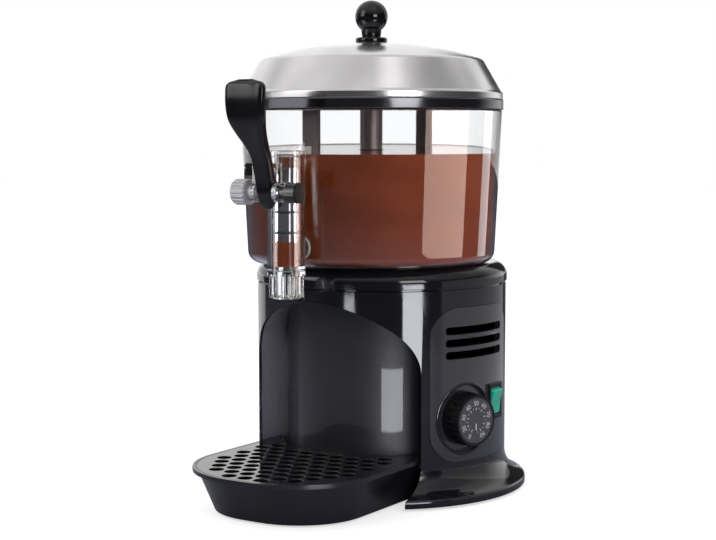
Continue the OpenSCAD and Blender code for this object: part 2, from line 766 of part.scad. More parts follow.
module bowl() color("#dfe8ee", 0.35) difference() {
  at_bowl() turned(bowl_points(0, 0));
  at_bowl() turned(bowl_points(bowl_wall, cut));
  at_bowl(bowl_z - cut) cylinder(r = pan_r + 0.6, h = bowl_wall + 2 * cut);
  translate([0, tap_y, neck_z]) rotate([-90, 0, 0]) cylinder(r = neck_r + fix_gap, h = 60);
}

module bowl_pan() color("#c9cbcd") at_bowl() difference() {
  union() {
    difference() {
      union() {
        translate([0, 0, pan_bottom]) cylinder(r = pan_r, h = bowl_floor + gasket_t + pan_t - pan_bottom);
        translate([0, 0, bowl_floor + gasket_t]) cylinder(r = nut_r, h = pan_t);
      }
      translate([0, 0, pan_bottom + pan_t]) cylinder(r = pan_r - pan_t, h = pan_depth + 20);
    }
    translate([0, 0, pan_bottom]) cylinder(r = column_tube_r, h = column_top - pan_bottom);
  }
  translate([0, 0, pan_bottom - cut]) cylinder(r = column_tube_r - column_tube_t, h = bowl_top);
}

module pan_gasket() color("#d8d8d0") at_bowl(bowl_floor) ring(nut_r - 1, pan_r + 0.6, gasket_t);

module pan_nut() color("#26262b") at_bowl(bowl_z - 6) difference() {
  ring(nut_r - 2, pan_r + turn_gap, 6);
  for (a = [0:30:330]) rotate([0, 0, a]) translate([nut_r - 1, 0, -cut]) cylinder(r = 3, h = 8);
}

module tap_barrel() color("#dfe8ee", 0.4) difference() {
  union() {
    at_tap(barrel_z) cylinder(r = barrel_r, h = barrel_h);
    at_tap(barrel_top - 5) cylinder(r = barrel_r + barrel_lip, h = 5);
    at_tap(neck_z) rotate([-90, 0, 0]) cylinder(r = neck_r, h = 33);
    at_tap(neck_z) rotate([-90, 0, 0]) cylinder(r = neck_r + 3.5, h = barrel_r + 3);
    for (sx = [-1, 1]) at_pivot() translate([sx * (lug_in + lug_t / 2), 0, 0]) {
      x_cylinder(lug_r, -lug_t / 2, lug_t / 2);
      box(lug_t, 0, pivot_ahead - bore_r + 1, -lug_r, lug_r);
    }
    at_pivot() translate([-lug_in - lug_t / 2, 0, 0]) box(lug_t, -4, 4, 0, lug_r + 17);
  }
  at_tap(barrel_z + seat_t) cylinder(r = bore_r, h = barrel_h);
  at_tap(barrel_z - cut) cylinder(r = outlet_r - 1, h = seat_t + 2 * cut);
  at_tap(neck_z) rotate([-90, 0, 0]) cylinder(r = neck_bore, h = 40);
  at_tap(pivot_z) box(arm_w + 2, -barrel_r - cut, 0, -7, 25);
  at_pivot() x_cylinder(pin_r + turn_gap, -pin_half, pin_half);
}

module tap_gasket() color("#d8d8d0") at_tap(neck_z) translate([0, barrel_r + 3, 0])
  rotate([-90, 0, 0]) ring(neck_r + 3.5, neck_r + turn_gap, 2);

module tap_neck_nut() color("#e4e4de") at_tap(neck_z)
  translate([0, tap_ahead - bowl_ahead - bowl_low_r + bowl_wall + 0.8, 0]) rotate([-90, 0, 0])
    ring(neck_r + 3, neck_r + turn_gap, 5);

module tap_nozzle() color("#e8eef2", 0.5) at_tap(barrel_z - fix_gap - nozzle_h) difference() {
  union() {
    translate([0, 0, 2]) cylinder(r = nozzle_r - 1.2, h = nozzle_h - 2);
    cylinder(r1 = nozzle_r - 3.5, r2 = nozzle_r - 1.2, h = 2);
    translate([0, 0, nozzle_h - 4]) cylinder(r = barrel_r, h = 4);
    for (i = [1:nozzle_ribs]) rotate([0, 0, 360 * i / nozzle_ribs])
      translate([nozzle_r - 1.2, 0, 1]) cylinder(r = 1.2, h = nozzle_h - 2, $fn = 16);
  }
  translate([0, 0, -cut]) cylinder(r = outlet_r, h = nozzle_h + 2 * cut);
}

module pivot_pin() color("#c9cbcd") at_pivot() x_cylinder(pin_r, -pin_half + 3, pin_half - 3);

module pin_knob() color("#a9abad") at_pivot() difference() {
  union() {
    x_cylinder(pin_knob_r - 1, -pin_half, -lug_in - lug_t - 5);
    for (i = [1:knob_flutes]) rotate([360 * i / knob_flutes, 0, 0]) translate([0, pin_knob_r - 1.2, 0])
      x_cylinder(1.2, -pin_half + 1, -lug_in - lug_t - 6);
    x_cylinder(7, -lug_in - lug_t - 5.5, -lug_in - lug_t - fix_gap);
  }
  x_cylinder(pin_r + turn_gap, -pin_half + 2.8, 0);
}

module pin_cap() color("#121214") at_pivot() difference() {
  union() {
    x_cylinder(5.8, lug_in + lug_t + fix_gap, lug_in + lug_t + 8);
    x_cylinder(pin_cap_r - 1, lug_in + lug_t + 7.5, pin_half);
    x_cylinder(pin_cap_r, lug_in + lug_t + 8.5, pin_half - 1);
  }
  x_cylinder(pin_r + turn_gap, 0, pin_half - 2.8);
}

module pin_catch() color("#16161a") at_pivot() translate([-lug_in - lug_t - fix_gap, 0, 0]) {
  translate([-3.5, 0, 0]) box(7, -4, 4, lug_r + 6, lug_r + 17);
  for (i = [0:2]) translate([-4, 0, 0]) box(8, -5, -3.5, lug_r + 7 + i * 3.4, lug_r + 8.6 + i * 3.4);
}

module tap_piston() color("#c7c9cc") at_tap() difference() {
  union() {
    translate([0, 0, piston_z]) cylinder(r = bore_r - move_gap, h = piston_top - piston_z);
    translate([0, 0, barrel_z + seat_t + 1]) cylinder(r = 3, h = chamber_h);
  }
  translate([0, 0, pivot_z]) {
    box(arm_w + 1, -bore_r - cut, tip_r + 2.2, -tip_r - 0.6, tip_r + 0.6);
    box(arm_w + 1, -bore_r - cut, -tip_r - 0.2, -9, 9);
  }
  for (z = [7, 25]) translate([0, 0, piston_z + z]) ring(bore_r + cut, bore_r - 2.2, 2.4);
}

module piston_rings() color("#1a1a1a") at_tap(piston_z) for (z = [7, 25])
  translate([0, 0, z + 0.2]) ring(bore_r - 0.3, bore_r - 2.1, 2);

module piston_seal() color("#b8b8b0") at_tap(barrel_z + seat_t + move_gap)
  ring(outlet_r + 2.5, 3 + turn_gap, 5);

// Side view of the lever's middle line: depth and height from the pivot, and thickness there
lever_line = [
  [0, -lever_up * 0.155, stem_t * 0.55], [0, 0, stem_t * 1.3],
  [-head_ahead * 0.17, lever_up * 0.17, stem_t * 1.1],
  [-head_ahead * 0.33, lever_up * 0.34, stem_t],
  [-head_ahead * 0.70, lever_up * 0.51, stem_t],
  [-head_ahead, lever_up - head_h, head_t],
  [-head_ahead * 1.02, lever_up - head_h / 2, head_t],
  [-head_ahead, lever_up, head_t * 0.8]];

// The point at t, from 0 to 1, between knot i and the next of a smooth curve through the knots
function spline(p, i, t) = let (
    a = p[max(i - 1, 0)], b = p[i], c = p[i + 1], d = p[min(i + 2, len(p) - 1)])
  0.5 * (2 * b + (c - a) * t + (2 * a - 5 * b + 4 * c - d) * t * t
    + (3 * b - a - 3 * c + d) * t * t * t);

lever_curve = [for (i = [1:len(lever_line) - 2], t = [0:0.2:0.8]) spline(lever_line, i, t),
  lever_line[len(lever_line) - 1]];

function lever_edge(side) = [for (i = [0:len(lever_curve) - 1]) let (
    p = lever_curve[max(i - 1, 0)], q = lever_curve[min(i + 1, len(lever_curve) - 1)],
    d = [q[0] - p[0], q[1] - p[1]] / norm([q[0] - p[0], q[1] - p[1]]), m = lever_curve[i])
  [m[0] + side * d[1] * m[2] / 2, m[1] - side * d[0] * m[2] / 2]];

// Front view of the lever: a stem that widens into a head with round corners
lever_round = 6;
function lever_front() = let (
    half = concat([[stem_w / 4, -lever_up * 0.155], [stem_w / 2, -stem_w / 4],
      [stem_w / 2, lever_up * 0.34]],
      [for (t = [0.1:0.1:1]) let (s = t * t * (3 - 2 * t))
        [stem_w / 2 + (head_w - stem_w) / 2 * s, lever_up * (0.34 + 0.32 * t)]],
      arc(head_w / 2 - lever_round, lever_up - lever_round, lever_round, 0, 90, 8)))
  concat(half, mirrored(half));

module tap_lever() color("#0f0f12") at_pivot() difference() {
  union() {
    intersection() {
      rotate([90, 0, 90]) translate([0, 0, -head_w / 2 - cut]) linear_extrude(head_w + 2 * cut)
        polygon(concat(lever_edge(-1), [for (i = [len(lever_curve) - 1:-1:0]) lever_edge(1)[i]]));
      rotate([90, 0, 0]) translate([0, 0, -2 * stem_t]) linear_extrude(2 * (stem_t + head_ahead))
        polygon(lever_front());
    }
    x_cylinder(8.8, -stem_w / 2, stem_w / 2);
    translate([0, 0, -lever_up * 0.155]) box(stem_w / 2, -3.2, 2.4, 0, lever_up * 0.155);
    box(arm_w, 0, pivot_ahead, -2, 2);
    translate([0, pivot_ahead, 0]) x_cylinder(tip_r, -arm_w / 2, arm_w / 2);
  }
  x_cylinder(pin_r + turn_gap, -stem_w, stem_w);
}

// ---- Stirrer ----------------------------------------------------------------------------

blade_z = pan_bottom + pan_t + 2;
blade_r = pan_r - pan_t - 3;
floor_z = bowl_floor + gasket_t + pan_t + 2;
half_blade = [[column_tube_r + 2, blade_z], [blade_r, blade_z], [blade_r, floor_z],
  [stir_reach, floor_z], [stir_reach, floor_z + bar_h], [blade_r - bar_h, floor_z + bar_h],
  [blade_r - bar_h, blade_z + bar_h], [column_tube_r + 2, blade_z + bar_h]];
// The scrapers pass just above the nut of the tap's neck
scraper_z = neck_z + neck_r + 3 + 1.5;

module stirrer_frame() color("#a3a6a9") at_bowl() difference() {
  union() {
    for (side = [0, 180]) rotate([0, 0, side]) {
      rotate([90, 0, 90]) translate([0, 0, -stir_t]) linear_extrude(2 * stir_t) polygon(half_blade);
      box(stir_w, stir_reach - stir_t, stir_reach, floor_z, bar_z + bar_h);
    }
    translate([0, 0, blade_z]) ring(column_tube_r + 5, column_tube_r + 0.8, bar_h);
    box(stir_w * 0.8, -stir_reach, stir_reach, bar_z, bar_z + bar_h);
    translate([0, 0, bar_z]) cylinder(r = hub_r, h = bar_h);
  }
  translate([0, 0, bar_z - cut]) cylinder(r = 6 + turn_gap, h = bar_h + 2 * cut);
}

module stirrer_hub() color("#a3a6a9") at_bowl() difference() {
  union() {
    translate([0, 0, column_top - sleeve_len])
      cylinder(r = column_tube_r + sleeve_gap + sleeve_wall, h = bar_z - column_top + sleeve_len);
    translate([0, 0, bowl_top + 2]) cylinder(r = hub_r - 2, h = bar_z - bowl_top - 2);
    translate([0, 0, bar_z - cut]) cylinder(r = 6, h = bar_h + 2 * cut);
  }
  translate([0, 0, column_top - sleeve_len - cut])
    cylinder(r = column_tube_r + sleeve_gap, h = sleeve_len + cut + move_gap);
  cylinder(r = shaft_r + 0.5, h = column_top + 3.5);
  translate([0, 0, column_top]) box(square_w + 0.6, -square_w / 2 - 0.3, square_w / 2 + 0.3,
    0, square_top + move_gap - column_top);
}

module stirrer_nut() color("#c9cbcd") at_bowl(bar_z + bar_h + turn_gap) difference() {
  cylinder(r = 11, h = 7);
  translate([0, 0, -cut]) cylinder(r = 6 + turn_gap, h = 4 + cut);
}

module stirrer_scrapers() color("#e6e2d8") at_bowl(scraper_z) for (side = [0, 180])
  rotate([0, 0, side]) box(3, stir_reach + fix_gap, bowl_low_r - bowl_wall - 1.5, 0, scraper_h);

// ---- Lid --------------------------------------------------------------------------------

lid_sphere = (pow(lid_knee_r - 2, 2) + pow(lid_dome_h, 2)) / (2 * lid_dome_h);

// The lid's outline, drawn in by a sheet thickness: rim, cone, knee and shallow dome
function lid_points(inset, over) = concat(
  [[0, lid_z - over], [lid_rim_r - inset, lid_z - over], [lid_rim_r - inset, lid_z + lid_rim_h],
   [lid_rim_r - 1.5 - inset, lid_z + lid_rim_h + 2]],
  arc(lid_knee_r - 3, lid_knee_z - 4.5, 5.5 - inset, 28, 72, 6),
  [for (i = [1:12]) let (r = (lid_knee_r - 5) * (1 - i / 12))
    [r, lid_top - inset - lid_sphere + sqrt(lid_sphere * lid_sphere - r * r)]]);

module lid() color("#c8c9cb") at_bowl() difference() {
  turned(lid_points(0, 0));
  turned(lid_points(lid_t, cut));
  translate([0, 0, lid_top - 10]) cylinder(r = 3 + fix_gap, h = 20);
}

trim_r = lid_rim_r + 0.6;
// Depth of the trim's lip inside the bowl's rim
lip_h = 2;
lip_r = bowl_top_r - bowl_wall - 1;

module lid_trim() color("#141416") at_bowl(bowl_top + 0.4) {
  ring(trim_r, lip_r - 2, trim_h);
  translate([0, 0, -lip_h]) ring(lip_r, lip_r - 2, lip_h + 0.5);
}

module lid_knob() color("#0e0e11") at_bowl(lid_top + turn_gap) difference() {
  union() {
    cylinder(r = knob_flange_r - 0.8, h = knob_flange_h);
    translate([0, 0, 0.8]) cylinder(r = knob_flange_r, h = knob_flange_h - 1.6);
    cylinder(r = knob_neck_r, h = ball_up);
    translate([0, 0, ball_up]) sphere(r = ball_r);
  }
  translate([0, 0, -cut]) cylinder(r = 3 + turn_gap, h = 15 + cut);
}

module lid_knob_screw() color("#b9bcc0") at_bowl(lid_top - lid_t) {
  translate([0, 0, -3]) cylinder(r = 6, h = 3 - fix_gap);
  translate([0, 0, -1]) cylinder(r = 3, h = 15);
}

housing();
top_ring();
recess_liner();
base_plate();
rubber_feet();
base_screws();
tray_rails();
cable_gland();
terminal_block();
control_panel();
thermostat();
switch_frame();
water_tank();
tank_gasket();
tank_screws();
heating_element();
safety_thermostat();
shaft_bush();
motor_bracket();
gearbox();
motor();
motor_screws();
drive_shaft();
dial_spindle();
dial_knob();
dial_face();
rocker();
drip_tray();
drip_grid();
bowl();
bowl_pan();
pan_gasket();
pan_nut();
tap_barrel();
tap_gasket();
tap_neck_nut();
tap_nozzle();
pivot_pin();
pin_knob();
pin_cap();
pin_catch();
tap_piston();
piston_rings();
piston_seal();
tap_lever();
stirrer_frame();
stirrer_hub();
stirrer_nut();
stirrer_scrapers();
lid();
lid_trim();
lid_knob();
lid_knob_screw();
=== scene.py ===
"""The looks of a countertop hot chocolate dispenser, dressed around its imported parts.

Metres, +Z up, the front is -Y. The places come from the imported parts' own boxes. The pieces made
here are smooth or rounded versions of parts, print and trim on the dial, and the chocolate, which
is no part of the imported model.
"""

import json
import math

import bmesh
import bpy
import numpy as np
from mathutils import Matrix, Vector

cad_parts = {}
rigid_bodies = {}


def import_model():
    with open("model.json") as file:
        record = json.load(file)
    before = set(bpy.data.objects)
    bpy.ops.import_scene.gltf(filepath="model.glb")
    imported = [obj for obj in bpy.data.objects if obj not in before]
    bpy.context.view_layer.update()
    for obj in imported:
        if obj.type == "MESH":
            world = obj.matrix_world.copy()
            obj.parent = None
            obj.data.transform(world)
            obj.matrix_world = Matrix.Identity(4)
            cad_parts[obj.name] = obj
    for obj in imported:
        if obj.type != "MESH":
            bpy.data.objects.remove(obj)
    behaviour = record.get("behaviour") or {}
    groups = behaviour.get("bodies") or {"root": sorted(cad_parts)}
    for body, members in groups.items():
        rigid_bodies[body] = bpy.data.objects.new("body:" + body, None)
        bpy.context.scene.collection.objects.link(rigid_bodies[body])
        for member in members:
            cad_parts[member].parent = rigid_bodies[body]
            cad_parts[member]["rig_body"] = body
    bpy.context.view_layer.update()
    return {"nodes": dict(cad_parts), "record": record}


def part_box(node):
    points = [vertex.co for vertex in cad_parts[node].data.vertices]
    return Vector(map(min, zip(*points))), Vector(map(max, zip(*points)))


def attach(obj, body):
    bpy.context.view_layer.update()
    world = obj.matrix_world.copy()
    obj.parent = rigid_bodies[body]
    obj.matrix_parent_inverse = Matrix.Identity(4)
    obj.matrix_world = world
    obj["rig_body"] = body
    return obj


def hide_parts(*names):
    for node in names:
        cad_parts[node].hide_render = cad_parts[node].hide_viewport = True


MM = 0.001

# ---- Frame --------------------------------------------------------------------------------

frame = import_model()
NODES = frame["nodes"]
# The finish that the record names for each part
SLOTS = {row["node"]: row["material_slot"] for row in frame["record"]["subparts"]}


def centre(node):
    """The middle of a part's box."""
    low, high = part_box(node)
    return (np.array(low) + np.array(high)) / 2


def half_width(node):
    """Half of a round part's size along X, which is its outer radius."""
    low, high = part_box(node)
    return (high[0] - low[0]) / 2


BASE_AXIS = centre("top_ring")[:2]
BOWL_AXIS = centre("lid_trim")[:2]
TAP_AXIS = centre("piston_seal")[:2]
PIVOT = centre("pivot_pin")

# ---- Camera -------------------------------------------------------------------------------

# The camera stands where the photograph was taken from: the angle is from the front towards +X
CAMERA_ANGLE = math.radians(31.99)
CAMERA_DISTANCE = 1.5265
CAMERA_HEIGHT = 0.3392
CAMERA_TILT = math.radians(4.99)
CAMERA_PAN = math.radians(-0.873)
CAMERA_LENS = 79.21


def level(angle):
    """The level direction at an angle from the front towards +X."""
    return np.array([math.sin(angle), -math.cos(angle), 0.0])


def new_object(name, data):
    """An object in the scene that holds some data."""
    made = bpy.data.objects.new(name, data)
    bpy.context.scene.collection.objects.link(made)
    return made


def face(thing, way):
    """Turns a camera or a light to look along a direction."""
    thing.rotation_mode = "QUATERNION"
    thing.rotation_quaternion = Vector(way).to_track_quat("-Z", "Y")


def make_camera():
    """The camera looks back along its angle, turned aside by the pan and down by the tilt."""
    data = bpy.data.cameras.new("camera")
    data.lens = CAMERA_LENS
    camera = new_object("camera", data)
    camera.location = np.append(BASE_AXIS, CAMERA_HEIGHT) + level(CAMERA_ANGLE) * CAMERA_DISTANCE
    look = -level(CAMERA_ANGLE - CAMERA_PAN) * math.cos(CAMERA_TILT)
    look[2] = -math.sin(CAMERA_TILT)
    face(camera, look)
    bpy.context.scene.camera = camera


# ---- Node trees ---------------------------------------------------------------------------


class Tree:
    """A node tree with short calls: an input is given a value or another node's output."""

    def __init__(self, tree):
        self.tree = tree

    def add(self, kind, inputs=None, **settings):
        node = self.tree.nodes.new(kind)
        for key, value in settings.items():
            setattr(node, key, value)
        for key, value in (inputs or {}).items():
            if isinstance(value, bpy.types.NodeSocket):
                self.tree.links.new(value, node.inputs[key])
            else:
                node.inputs[key].default_value = value
        return node

    def math(self, operation, first, second=0.0, clamp=False):
        return self.add("ShaderNodeMath", {0: first, 1: second}, operation=operation,
                        use_clamp=clamp).outputs[0]

    def mapped(self, value, low, high, to_low=0.0, to_high=1.0, smooth=False):
        """A value taken from one range to another, and held at its ends."""
        kind = "SMOOTHSTEP" if smooth else "LINEAR"
        return self.add("ShaderNodeMapRange", {0: value, 1: low, 2: high, 3: to_low, 4: to_high},
                        interpolation_type=kind).outputs[0]

    def noise(self, place, scale, detail=2.0, roughness=0.5):
        return self.add("ShaderNodeTexNoise", {"Vector": place, "Scale": scale, "Detail": detail,
                        "Roughness": roughness}).outputs[0]

    def mix(self, factor, first, second):
        """A blend of two colours, which are the node's sockets 6 and 7."""
        return self.add("ShaderNodeMix", {0: factor, 6: rgba(first), 7: rgba(second)},
                        data_type="RGBA").outputs[2]

    def object_place(self):
        return self.add("ShaderNodeTexCoord").outputs["Object"]

    def stretched(self, scale):
        """The place on the object, scaled by its own factor along each axis."""
        return self.add("ShaderNodeMapping", {"Vector": self.object_place(),
                        "Scale": scale}).outputs[0]

    def length(self, vector):
        return self.add("ShaderNodeVectorMath", {0: vector}, operation="LENGTH").outputs["Value"]

    def bump(self, height, strength, distance):
        return self.add("ShaderNodeBump", {"Height": height, "Strength": strength,
                        "Distance": distance}).outputs[0]

    def principled(self, colour, roughness, normal, **settings):
        """The common shader, with its other inputs by their names."""
        inputs = {"Base Color": rgba(colour), "Roughness": roughness, "Normal": normal}
        inputs.update((key.replace("_", " "), value) for key, value in settings.items())
        return self.add("ShaderNodeBsdfPrincipled", inputs).outputs[0]

    def blend(self, factor, first, second):
        """A blend of two shaders."""
        return self.add("ShaderNodeMixShader", {0: factor, 1: first, 2: second}).outputs[0]

    def show(self, shader, kind="ShaderNodeOutputMaterial"):
        """Ends the tree with a shader."""
        self.add(kind, {0: shader})


def rgba(colour):
    """A colour with its alpha, or a socket as it is."""
    return (*colour, 1.0) if isinstance(colour, tuple) else colour


def darker(colour, factor):
    return tuple(c * factor for c in colour)


def group(name, inputs, outputs, build):
    """A shader node group of plain values: inputs have names and values, and outputs names."""
    tree = bpy.data.node_groups.new(name, "ShaderNodeTree")
    kind = "NodeSocketFloat"
    for key, value in inputs.items():
        tree.interface.new_socket(key, in_out="INPUT", socket_type=kind).default_value = value
    for key in outputs:
        tree.interface.new_socket(key, in_out="OUTPUT", socket_type=kind)
    inside = Tree(tree)
    source = inside.add("NodeGroupInput")
    inside.add("NodeGroupOutput", build(inside, source.outputs))
    return tree


def build_handling(tree, given):
    """Smudges are broad soft noise, and dust is fine noise on what faces up."""
    place = tree.object_place()
    broad = tree.noise(place, given["Smudge scale"], detail=4.0, roughness=0.6)
    smudge = tree.mapped(broad, 0.42, 0.68, smooth=True)
    normal = tree.add("ShaderNodeNewGeometry").outputs["Normal"]
    up = tree.add("ShaderNodeSeparateXYZ", {0: normal}).outputs["Z"]
    fine = tree.mapped(tree.noise(place, 900.0, detail=3.0), 0.5, 0.72)
    dust = tree.math("MULTIPLY", tree.mapped(up, 0.35, 1.0), fine)
    return {"Smudge": smudge, "Dust": dust}


def build_peel(tree, given):
    """The faint waviness of a moulded or painted surface: two sizes of noise added together."""
    place = tree.object_place()
    small = tree.noise(place, given["Scale"])
    large = tree.noise(place, tree.math("MULTIPLY", given["Scale"], 0.12), detail=1.0)
    return {"Height": tree.math("ADD", small, tree.math("MULTIPLY", large, 2.0))}


def build_turned(tree, given):
    """Fine rings about the upright axis at (Axis X, Axis Y): noise of the radius and the height."""
    part = tree.add("ShaderNodeSeparateXYZ", {0: tree.object_place()}).outputs
    across = tree.math("SUBTRACT", part["X"], given["Axis X"])
    along = tree.math("SUBTRACT", part["Y"], given["Axis Y"])
    flat = tree.add("ShaderNodeCombineXYZ", {"X": across, "Y": along}).outputs[0]
    ring = tree.add("ShaderNodeCombineXYZ", {"X": tree.length(flat), "Y": part["Z"]}).outputs[0]
    return {"Lines": tree.noise(ring, given["Scale"], detail=3.0, roughness=0.65)}


GROUPS = {
    "handling": group("Handling marks", {"Smudge scale": 22.0}, ["Smudge", "Dust"], build_handling),
    "peel": group("Moulded waviness", {"Scale": 260.0}, ["Height"], build_peel),
    "turned": group("Turned rings", {"Axis X": 0.0, "Axis Y": 0.0, "Scale": 1500.0}, ["Lines"],
                    build_turned),
}


def use(tree, name, **inputs):
    """A group's outputs inside a material."""
    node = tree.add("ShaderNodeGroup", node_tree=GROUPS[name])
    for key, value in inputs.items():
        node.inputs[key.replace("_", " ")].default_value = value
    return node.outputs


def new_material(name):
    """An empty material and its tree."""
    material = bpy.data.materials.new(name)
    material.use_nodes = True
    material.node_tree.nodes.clear()
    return material, Tree(material.node_tree)


# ---- Materials ----------------------------------------------------------------------------

# How deep the relief of a finish is
PEEL_DEPTH = 0.25 * MM
WAVE_DEPTH = 0.3 * MM
ROCKER_DEPTH = 0.2 * MM
METAL_DEPTH = 0.04 * MM
COAT_ROUGHNESS = 0.04
CLEAR_INDEX = 1.49
# Under dust a colour keeps this share of itself and gains this much grey
DUST_VEIL = 0.5
DUST_GREY = 0.16
# What smudges and dust add to the roughness of plastic, and smudges to that of metal as a share
PLASTIC_SMUDGE = 0.06
PLASTIC_DUST = 0.3
METAL_SMUDGE = 0.25
# The noise values between which the grain of metal runs from dark to light
GRAIN_RANGE = (0.3, 0.7)


def moulded(name, colour, roughness=0.2, peel=0.12, dust=0.25, coat=0.0, grain=260.0):
    """Moulded plastic: faint waviness, smudges in the gloss and a little dust on top."""
    material, tree = new_material(name)
    marks = use(tree, "handling")
    height = use(tree, "peel", Scale=grain)["Height"]
    dusty = tree.math("MULTIPLY", marks["Dust"], dust, True)
    pale = tuple(c * DUST_VEIL + DUST_GREY for c in colour)
    varied = tree.math("ADD", tree.math("MULTIPLY", marks["Smudge"], PLASTIC_SMUDGE), roughness)
    gloss = tree.math("ADD", varied, tree.math("MULTIPLY", dusty, PLASTIC_DUST), True)
    shade = tree.mix(dusty, colour, pale)
    tree.show(tree.principled(shade, gloss, tree.bump(height, peel, PEEL_DEPTH),
                              Coat_Weight=coat, Coat_Roughness=COAT_ROUGHNESS))
    return material


def metal(name, colour, roughness=0.25, lines=0.15, axis=(0.0, 0.0), stretch=None, deep=0.86,
          painted_blotch=1.0):
    """Bare metal: turned rings about an axis, or brushing along a stretched noise, with smudges.
    The grain is darker by the deep factor, and broad soft patches by the factor painted_blotch as
    well: these patches are painted reflections, the blotches that a slightly wavy sheet shows."""
    material, tree = new_material(name)
    if stretch is None:
        grain = use(tree, "turned", Axis_X=axis[0], Axis_Y=axis[1])["Lines"]
    else:
        grain = tree.noise(tree.stretched(stretch), 1.0, detail=3.0, roughness=0.6)
    smudge = use(tree, "handling", Smudge_scale=16.0)["Smudge"]
    gloss = tree.math("ADD", tree.mapped(grain, *GRAIN_RANGE, roughness * 0.8, roughness * 1.2),
                      tree.math("MULTIPLY", smudge, roughness * METAL_SMUDGE), True)
    dark = darker(colour, deep)
    shade = tree.mix(tree.mapped(grain, *GRAIN_RANGE), dark, colour)
    # Broad patches of the darker tone: painted reflections that stand in for the blotches of a wavy
    # sheet
    patch = tree.mapped(tree.noise(tree.object_place(), 17.0, detail=1.5), 0.38, 0.62, smooth=True)
    varied = tree.mix(patch, shade, darker(dark, painted_blotch))
    tree.show(tree.principled(varied, gloss, tree.bump(grain, lines, METAL_DEPTH), Metallic=1.0))
    return material


def clear(name, tint, roughness=0.02):
    """Clear plastic. Light for what is behind it passes straight through."""
    material, tree = new_material(name)
    height = use(tree, "peel", Scale=60.0)["Height"]
    scuffs = use(tree, "handling", Smudge_scale=30.0)["Smudge"]
    gloss = tree.mapped(scuffs, 0.0, 1.0, roughness, roughness + 0.03)
    shader = tree.principled(tint, gloss, tree.bump(height, 0.03, WAVE_DEPTH), IOR=CLEAR_INDEX,
                             Transmission_Weight=1.0)
    # Light crosses two faces of each wall, so each of them takes the root of the tint
    one_face = tuple(c ** 0.5 for c in tint)
    through = tree.add("ShaderNodeBsdfTransparent", {"Color": rgba(one_face)}).outputs[0]
    shadow = tree.add("ShaderNodeLightPath").outputs["Is Shadow Ray"]
    tree.show(tree.blend(shadow, shader, through))
    return material


def chocolate(name):
    """Thick drinking chocolate: warm brown with slow streaks, a satin skin and a few bubbles."""
    material, tree = new_material(name)
    place = tree.object_place()
    streaks = tree.noise(tree.stretched((14.0, 14.0, 40.0)), 1.0, detail=3.0)
    slow = tree.mapped(streaks, 0.35, 0.65, smooth=True)
    shade = tree.mix(slow, (0.122, 0.022, 0.004), (0.152, 0.030, 0.007))
    cells = tree.add("ShaderNodeTexVoronoi", {"Vector": place, "Scale": 420.0}).outputs["Distance"]
    froth = tree.mapped(tree.noise(place, 34.0, detail=3.0), 0.58, 0.7)
    bubble = tree.math("MULTIPLY", tree.mapped(cells, 0.0, 0.35, 1.0, 0.0), froth)
    height = tree.math("ADD", tree.noise(place, 40.0), tree.math("MULTIPLY", bubble, 0.6))
    tree.show(tree.principled(shade, 0.12, tree.bump(height, 0.04, WAVE_DEPTH),
                              Specular_IOR_Level=0.3, Subsurface_Weight=0.12,
                              Subsurface_Radius=(0.004, 0.0015, 0.0008)))
    return material


def lit_rocker(name, colour):
    """The translucent rocker, with a soft glow of the lamp inside it."""
    material, tree = new_material(name)
    glow = tree.mapped(tree.noise(tree.object_place(), 60.0, detail=1.0), 0.3, 0.7, 0.75, 1.0)
    light = tree.mix(glow, (0.0, 0.0, 0.0), colour)
    height = use(tree, "peel")["Height"]
    tree.show(tree.principled(colour, 0.22, tree.bump(height, 0.1, ROCKER_DEPTH),
                              Emission_Color=light, Emission_Strength=0.34))
    return material


